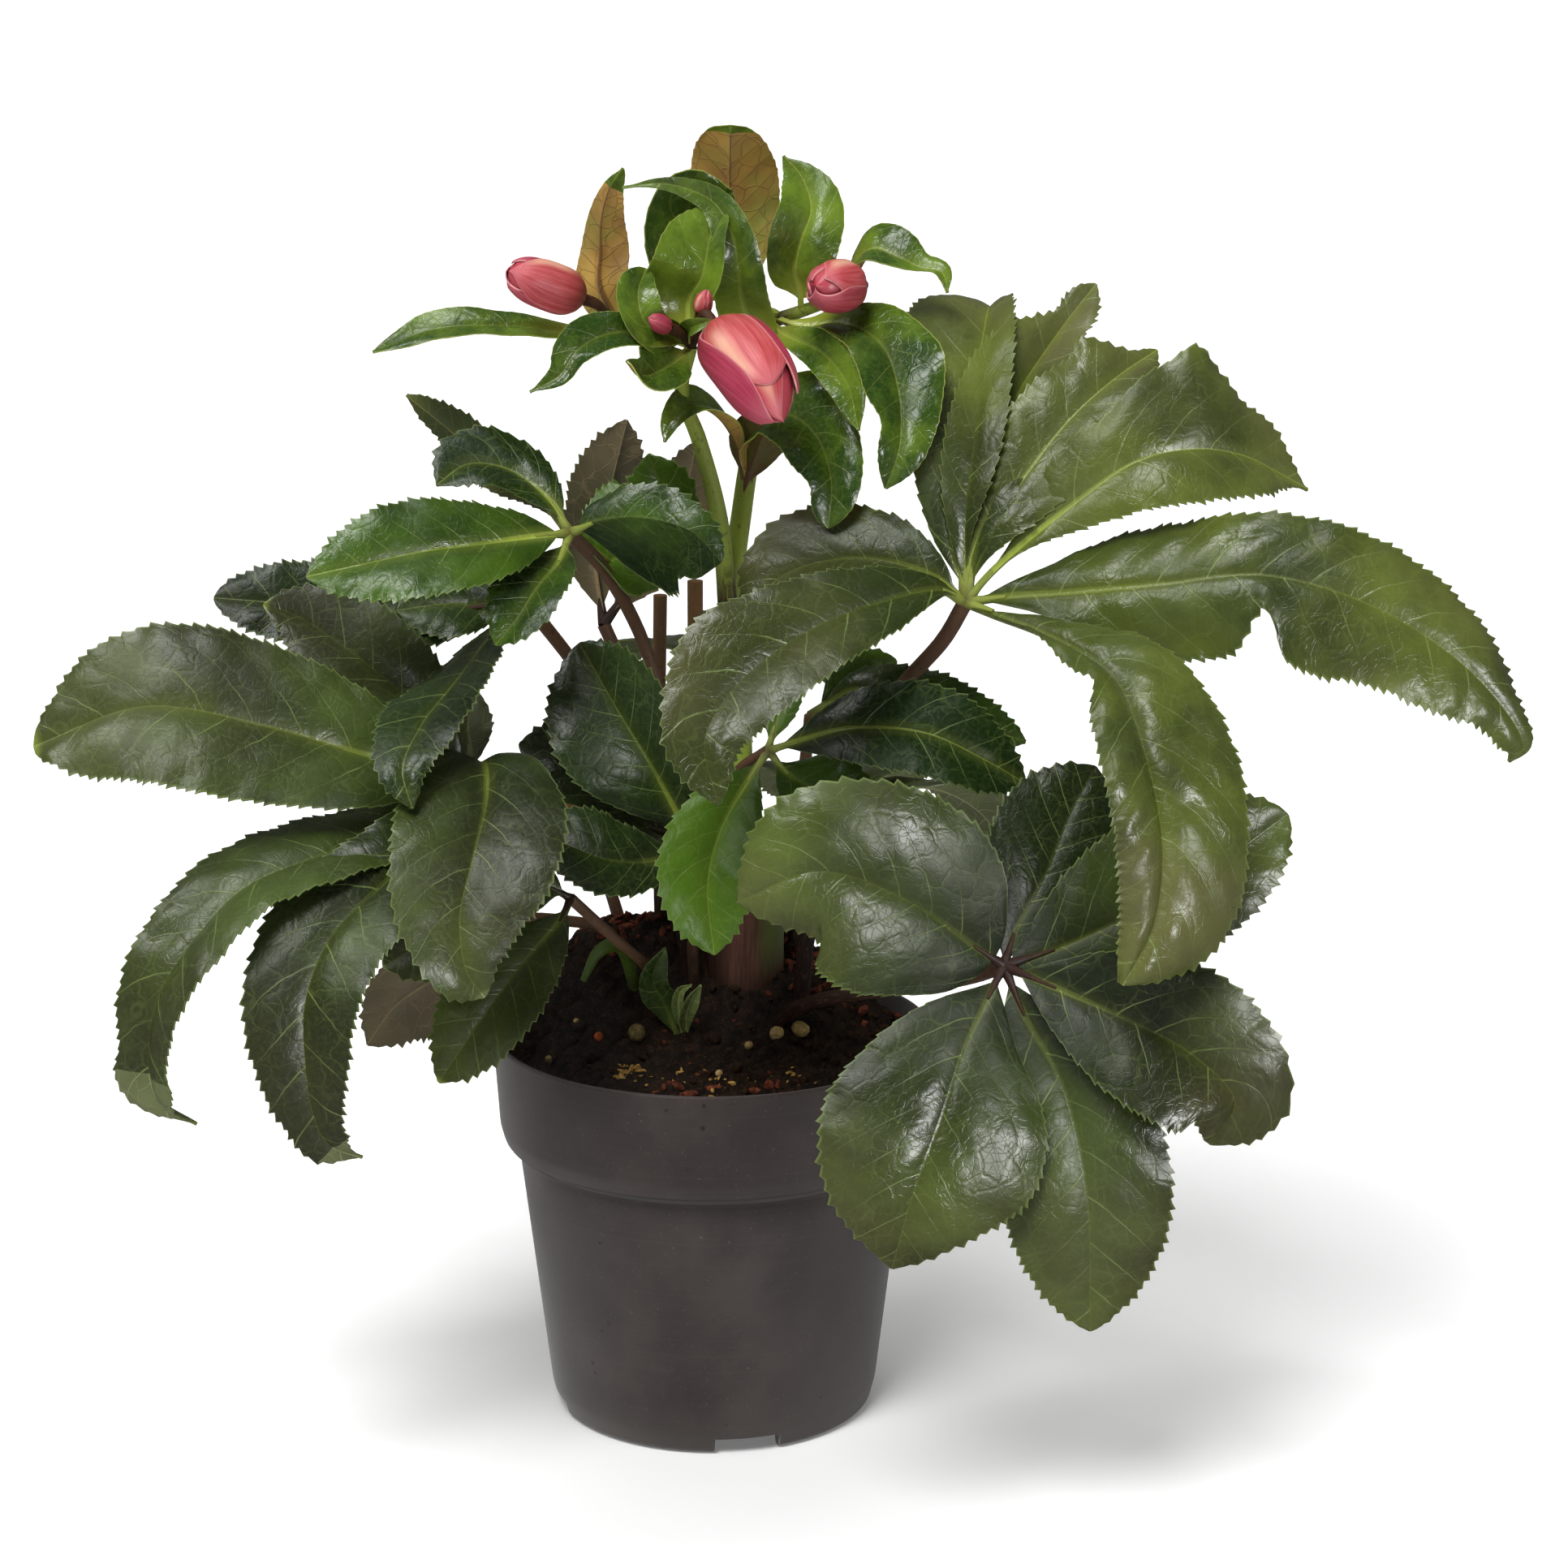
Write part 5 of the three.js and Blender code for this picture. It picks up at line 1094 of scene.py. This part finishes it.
def make_crumbs():
    skins = {key: soil_material("crumbs_" + key, low, high, 500)
             for key, (low, high) in CRUMB_COLOURS.items()}
    scatter_lumps("soil.crumbs", crumbs_anywhere(360, 0.9, 2.6, (0.4, 0.8)), skins["dark"])
    bark = crumbs_gathered(BARK_PATCHES, 1.0, 2.8) + crumbs_anywhere(40, 0.8, 1.8, (0.3, 0.7))
    scatter_lumps("soil.bark", bark, skins["red"])
    scatter_lumps("soil.flecks", crumbs_gathered(GOLD_PATCHES, 0.4, 1.3), skins["gold"])
    for key in ("orange", "olive", "tan"):
        spots = [(soil_spot(x, y, -0.45 * radius), radius, (1, 0.95, 0.9))
                 for x, y, radius, colour in GRANULES if colour == key]
        scatter_lumps("soil.granules_" + key, spots, skins[key], 0.12)


# ---- Sheath and buds

SHEATH_FOOT = 128
SHEATH_LIP = 170.5
SHEATH_RISE = 44
SHEATH_AXIS = 10
SHEATH_SIDES = 48
SHEATH_ROWS = 16
SHEATH_INNER_ROWS = 11
SHEATH_SHARES = (0, 0.333, 0.667, 1, 1.2)
SHEATH_RADII = (11.0, 12.6, 12.3, 13.2, 13.6)
BUD_WIDEST = 0.42
SEPAL_ROWS, SEPAL_COLUMNS = 33, 23
SEPAL_THICKNESS = 0.55
CORE_ROWS, CORE_SIDES = 18, 28
TOWARDS_VIEWER = np.array([0, -0.95, 0.3])


def make_sheath():
    """The papery sheath round the stem's foot: a cup with a lip that dips at the front left."""
    turns = angles_round(SHEATH_SIDES)

    def near(degrees, spread):
        away = (turns - math.radians(degrees) + math.pi) % FULL_TURN - math.pi
        return np.exp(-((away / spread) ** 2))

    lobe = near(330, 0.6)
    lip = SHEATH_LIP - 8 * near(236, 0.75) + 4.5 * lobe + 0.8 * np.sin(5 * turns)
    s = np.linspace(0, 1, SHEATH_ROWS)[:, None]
    z = SHEATH_FOOT + s * (lip - SHEATH_FOOT)
    base = np.interp((z - SHEATH_FOOT) / SHEATH_RISE, SHEATH_SHARES, SHEATH_RADII)
    ribs = 0.25 * np.sin(16 * turns) * (1 - 0.5 * s) + 0.4 * np.sin(3 * turns + 5 * s)
    outer = base + ribs + 3.4 * lobe * s**4
    inner = outer - 1.3 - 0.6 * (1 - s)
    radii = np.vstack([outer, inner[::-1][:SHEATH_INNER_ROWS]])
    heights = np.vstack([z, z[::-1][:SHEATH_INNER_ROWS] - 0.1])
    points = np.stack([SHEATH_AXIS + radii * np.cos(turns), radii * np.sin(turns), heights], 2).reshape(-1, 3)
    ends = [[SHEATH_AXIS, 0, SHEATH_FOOT], [SHEATH_AXIS, 0, heights[-1].mean()]]
    turn = np.append(np.tile(turns / FULL_TURN, len(radii)), [0.5, 0.5])
    share = np.append(np.clip((heights.ravel() - SHEATH_FOOT) / SHEATH_RISE, 0, 1), [0, 0.5])
    shape = Shape()
    faces = barrel_faces(len(radii), SHEATH_SIDES)
    shape.add(np.vstack([points, ends]), faces, np.stack([turn, share] * 4, 1))
    shape.build("flowering_stem.sheath", [sheath_material()], "stalk_brown", "flowering_stem")


def bud_outline(t, power, closing):
    base = np.clip(1 - (1 - np.clip(t / BUD_WIDEST, 0, 1)) ** 2.8, 0, 1) ** 0.5
    end = np.clip(1 - np.clip((t - BUD_WIDEST) / (1 - BUD_WIDEST), 0, 1) ** power, 0, 1) ** closing
    return base * end


def make_bud(name, base, tip, radius, form, sepals, material):
    """Sepals that overlap one another round a closed core."""
    base, tip = np.array(base, float), np.array(tip, float)
    length = np.linalg.norm(tip - base)
    power, closing, bow, brown = form
    axis = unit(tip - base)
    front = unit(TOWARDS_VIEWER - axis * np.dot(TOWARDS_VIEWER, axis))
    side = np.cross(axis, front)

    def on_bud(t, angle, r):
        middle = base + axis * (t * length)[..., None] + side * (bow * np.sin(math.pi * t))[..., None]
        around = front * (r * np.cos(angle))[..., None] + side * (r * np.sin(angle))[..., None]
        return (middle + around).reshape(-1, 3)

    shape = Shape()
    s = (0.5 - 0.5 * np.cos(math.pi * np.linspace(0, 1, SEPAL_ROWS)))[:, None]
    u = np.linspace(-1, 1, SEPAL_COLUMNS)[None, :]
    for k, (facing, wide, lean, end, stand, magenta, cream) in enumerate(sepals):
        closed = np.clip(1 - np.clip((s - 0.5) / 0.5, 0, 1) ** 2.4, 0, 1) ** 0.6
        half = math.radians(wide) * (0.75 + 0.25 * smoothstep(s, 0, 0.3)) * closed
        angle = math.radians(facing) + np.radians(lean) * (s - 0.5) + half * u
        ragged = 0.012 * np.sin(7 * s * math.pi + 2 * k) * np.abs(u) ** 8
        t = np.clip(end * (s + ragged), 0, 1) + 0 * u
        lip = stand * (0.4 + 0.6 * smoothstep(s, 0, 0.2))
        furrows = 0.1 * np.sin(9 * u + k) * smoothstep(1 - s, 0, 0.3)
        r = (radius - 1.1) * bud_outline(t, power, closing) + lip + furrows
        margin = 0.25 * np.abs(u) ** 6
        sinks = (0.0, SEPAL_THICKNESS)
        layers = [on_bud(t, angle, np.maximum(r - margin - sink, 0.03)) for sink in sinks]
        across = np.tile((u * 0.5 + 0.5).ravel(), SEPAL_ROWS)
        along = np.repeat(s.ravel(), SEPAL_COLUMNS)
        same = np.ones(SEPAL_ROWS * SEPAL_COLUMNS)
        table = np.stack([across * 2, along * length / 10, same * brown, same * 0, across, along,
                          same * magenta, same * cream], 1)
        shape.add(np.vstack(layers), sum(slab_faces(SEPAL_ROWS, SEPAL_COLUMNS), []), table)
    t = np.linspace(0, 1, CORE_ROWS)[:, None]
    turns = angles_round(CORE_SIDES)[None, :]
    r = np.maximum((radius - 1.5) * bud_outline(t, power, closing) - 0.2, 0.05) + 0 * turns
    core = on_bud(0.01 + 0.97 * t + 0 * turns, turns + 0 * t, r)
    core = np.vstack([core, [base, base + 0.99 * (tip - base)]])
    table = np.tile([0.5, 0.5, brown, 0, 0.5, 0.5, 0.5, NO_BAND], (len(core), 1))
    shape.add(core, barrel_faces(CORE_ROWS, CORE_SIDES), table)
    shape.build(name + ".sepals", [material], "bud_pink", name, 60)


def bud_stalk(start, base, tip):
    base, tip = np.array(base, float), np.array(tip, float)
    axis = unit(tip - base)
    return [start, base - 5 * axis, base + 0.4 * axis]


# ---- The plant's pieces


def make_leaf(name, slot, radii, stalk, leaflets, blade, back, skin, petiolule):
    low, high = radii
    top = stalk[-1]
    blades, stalks = Shape(), Shape()
    for entry in leaflets:
        add_leaflet(blades, top, **entry)
    blades.build(name + ".blades", [blade, back], slot, name)
    add_tube(stalks, stalk, [low, (low + high) / 2, high, high * 1.1], furrow=0.16)
    for entry in leaflets:
        route = [top, entry["rib"][0]]
        add_tube(stalks, route, [high * 0.95, high * 0.5, high * 0.3], sides=10, kind=1, step=2)
    stalks.build(name + ".stalk", [skin, petiolule], slot, name)


def make_leaves():
    upper = leaf_material("leaf_upper", (36, 50, 14), (104, 118, 42), dull=0.66, tints=0.5,
                          hub=(0.6, 0.75), tinge_and_sheen=(98, 92, 58))
    lower = leaf_material("leaf_lower", (24, 34, 13), (86, 104, 42), dull=0.4, tints=0.5,
                          hub=(0.9, 0.95), matt_hub=0.22)
    left = leaf_material("leaf_left", (22, 34, 13), (72, 90, 36), gloss=0.33, dull=0.25,
                         tip=(140, 156, 60))
    bright = leaf_material("leaf_bright", (16, 38, 6), (74, 106, 24))
    centre = leaf_material("leaf_centre", (16, 36, 6), (74, 106, 24), gloss=0.36, shine=0.22)
    # The inner leaves' greens are very dark: partly their own colour, partly painted shade deep in the crown.
    inner = leaf_material("leaf_inner", (12, 24, 6), (36, 54, 16), gloss=0.3)
    back = underside_material("leaf_back", (104, 112, 70), (150, 150, 100), (84, 92, 56))
    brown = underside_material("leaf_back_brown", (104, 92, 66), (138, 120, 84), (78, 74, 52))
    olive = underside_material("leaf_back_olive", (88, 90, 34), (120, 116, 52), (60, 72, 26))
    # The stalks' lower parts are dark red-brown: partly their own colour, partly painted shade among the
    # crown.
    red = stalk_material("stalk_red", (40, 24, 18), (92, 66, 46), (120, 84, 66), (0.25, 0.7))
    dark = stalk_material("petiolule_dark", (48, 28, 22), (62, 44, 28), (90, 66, 44))
    green = stalk_material("petiolule_green", (96, 92, 44), (140, 152, 66), (156, 160, 88), (0.0, 0.4))
    looks = {
        "leaf_upper_right": (upper, back, red, green), "leaf_lower_right": (lower, back, red, dark),
        "leaf_left": (left, back, red, green), "leaf_upper_left": (bright, olive, red, green),
        "leaf_inner_left": (inner, back, red, dark), "leaf_centre": (centre, back, red, green),
        "leaf_low_left": (left, back, red, dark), "leaf_back_low_left": (left, brown, red, dark),
        "leaf_back_left": (inner, brown, red, dark), "leaf_back_right": (bright, back, red, green),
        "leaf_back_centre": (left, brown, red, dark),
    }
    for name, leaf in LEAVES.items():
        make_leaf(name, *leaf, *looks.get(name, (upper, back, red, dark)))


def make_stem():
    upper = leaf_material("bract_top", (34, 62, 10), (106, 134, 36), vein=(160, 172, 84),
                          rib_colour=(186, 196, 92), gloss=0.2, veining=0.4, young=(166, 176, 60),
                          tints=0.5, patches=42, margin_light=0.8)
    under = underside_material("bract_under", (196, 158, 74), (92, 56, 34), (130, 98, 46),
                               moss=(124, 130, 48), deep=(76, 76, 26))
    # The stem's lower part is dark purple-brown: partly its own colour, partly painted shade low in the
    # crown.
    skin = stalk_material("stem_skin", (50, 34, 20), (138, 156, 58), (122, 106, 54), (0.12, 0.36))
    dark = stalk_material("bud_stalk", (62, 40, 28), (70, 40, 26), (104, 84, 44))
    axes, bracts = Shape(), Shape()
    for (low, high), route in STEM_AXES:
        add_tube(axes, route, [low, (low + high) / 2, high], sides=18, step=3)
    for start, base, tip, *_ in BUDS.values():
        add_tube(axes, bud_stalk(start, base, tip), BUD_STALK_RADII, sides=12, step=1.5, kind=1)
    axes.build("flowering_stem.axes", [skin, dark], "bract_green", "flowering_stem")
    for start, entry in BRACTS:
        add_leaflet(bracts, start, toothed=0.2, **entry)
    bracts.build("flowering_stem.bracts", [upper, under], "bract_green", "flowering_stem")
    make_sheath()


def make_sprout():
    """The young leaf at the crown: one dark folded leaflet, with paler tips beside it."""
    dark = leaf_material("sprout_dark", (24, 40, 14), (58, 78, 32), rib_colour=(140, 156, 76))
    pale = underside_material("sprout_under", (96, 110, 56), (140, 150, 90), (78, 92, 44))
    skin = stalk_material("sprout_stalk", (60, 40, 26), (120, 84, 62), (150, 112, 92))
    blade, tips, stalk = Shape(), Shape(), Shape()
    for shape, (start, entry) in zip((blade, tips, tips), SPROUT_LEAFLETS):
        add_leaflet(shape, start, **entry)
    radii, route = SPROUT_STALK
    add_tube(stalk, route, radii)
    blade.build("sprout.blade", [dark, pale], "leaf_inner", "sprout")
    tips.build("sprout.tips", [pale, pale], "leaf_inner", "sprout")
    stalk.build("sprout.stalk", [skin], "leaf_inner", "sprout")


def make_rest():
    pink = sepal_material()
    for name, (_, *bud) in BUDS.items():
        make_bud(name, *bud, pink)
    dry = stalk_material("stalk_dry", (60, 42, 30), (122, 90, 56), (140, 112, 78), gloss=0.7)
    for name, ((low, high), route) in CUT_STALKS.items():
        stub = Shape()
        add_tube(stub, route, [low, high * 1.02, high * 0.96, high])
        stub.build(name + ".stub", [dry], "stalk_brown", name)
    green = stalk_material("shoot_skin", (40, 44, 16), (66, 88, 22), (84, 98, 36), (0.3, 0.6))
    hook = Shape()
    radii, route = SHOOT
    add_tube(hook, route, radii, step=1.5)
    hook.build("shoot.hook", [green], "leaf_young", "shoot")


# ---- Floor, light and camera

FLOOR_HALF = 14.0
WORLD_LIGHT = 0.13
# The photo's angle: 14.5 degrees above the pot, 1.24 m in front of it.
CAMERA_PLACE = (0.0228, -1.2379, 0.5251)
CAMERA_TILT = 75.5
CAMERA_LENS = 93.43
CAMERA_SENSOR = 36


def make_stage():
    mesh = bpy.data.meshes.new("floor")
    corners = [(FLOOR_HALF * x, FLOOR_HALF * y, 0) for x, y in ((-1, -1), (1, -1), (1, 1), (-1, 1))]
    mesh.from_pydata(corners, [], [(0, 1, 2, 3)])
    floor = linked("floor", mesh)
    g = Graph("floor_paint")
    g.base(g.noise(g.place(), 900, 2).smooth(0.3, 0.7), (0.92, 0.92, 0.92, 1), (0.95, 0.95, 0.95, 1))
    mesh.materials.append(g.finish(Roughness=0.7, Specular_IOR_Level=0.1, Emission_Color=(1, 1, 1, 1),
                                   Emission_Strength=0.14))
    floor.visible_glossy = False


def soft_box(name, place, target, size, power):
    """A panel that is only seen as a sheen on the leaves."""
    data = bpy.data.lights.new(name, "AREA")
    data.shape = "RECTANGLE"
    data.size, data.size_y = size
    data.energy = power
    lamp = linked(name, data)
    lamp.location = place
    lamp.rotation_euler = (Vector(target) - Vector(place)).to_track_quat("-Z", "Y").to_euler()
    lamp.visible_diffuse = False


def sun(name, power, spread, tilt, turn):
    data = bpy.data.lights.new(name, "SUN")
    data.energy = power
    data.angle = math.radians(spread)
    lamp = linked(name, data)
    lamp.rotation_euler = (math.radians(tilt), 0, math.radians(turn))
    lamp.visible_glossy = False


def make_light():
    world = bpy.data.worlds.new("studio")
    world.use_nodes = True
    background = world.node_tree.nodes["Background"]
    background.inputs[0].default_value = (1.0, 1.0, 1.0, 1)
    background.inputs[1].default_value = WORLD_LIGHT
    bpy.context.scene.world = world
    sun("light_key", 2.75, 24, 36, -22)
    sun("light_top", 1.25, 40, -18, 20)
    soft_box("sheen_front", (0.7, -1.1, 0.34), (0.06, -0.13, 0.12), (0.4, 0.3), 7.5)
    soft_box("sheen_crown", (-0.45, -0.82, 1.07), (0.05, -0.02, 0.33), (0.28, 0.28), 3)
    soft_box("sheen_top", (-0.16, -0.48, 1.4), (0.13, -0.07, 0.28), (0.4, 0.4), 5)
    soft_box("sheen_left", (-0.9, -0.12, 1.2), (-0.1, -0.1, 0.2), (0.4, 0.4), 4)
    bpy.context.scene.view_settings.view_transform = "Standard"


def make_camera():
    data = bpy.data.cameras.new("camera")
    data.sensor_width = CAMERA_SENSOR
    data.lens = CAMERA_LENS
    camera = linked("camera", data)
    camera.location = CAMERA_PLACE
    camera.rotation_euler = (math.radians(CAMERA_TILT), 0, 0)
    bpy.context.scene.camera = camera


make_pot()
make_soil()
make_crumbs()
make_leaves()
make_stem()
make_sprout()
make_rest()
make_stage()
make_light()
make_camera()
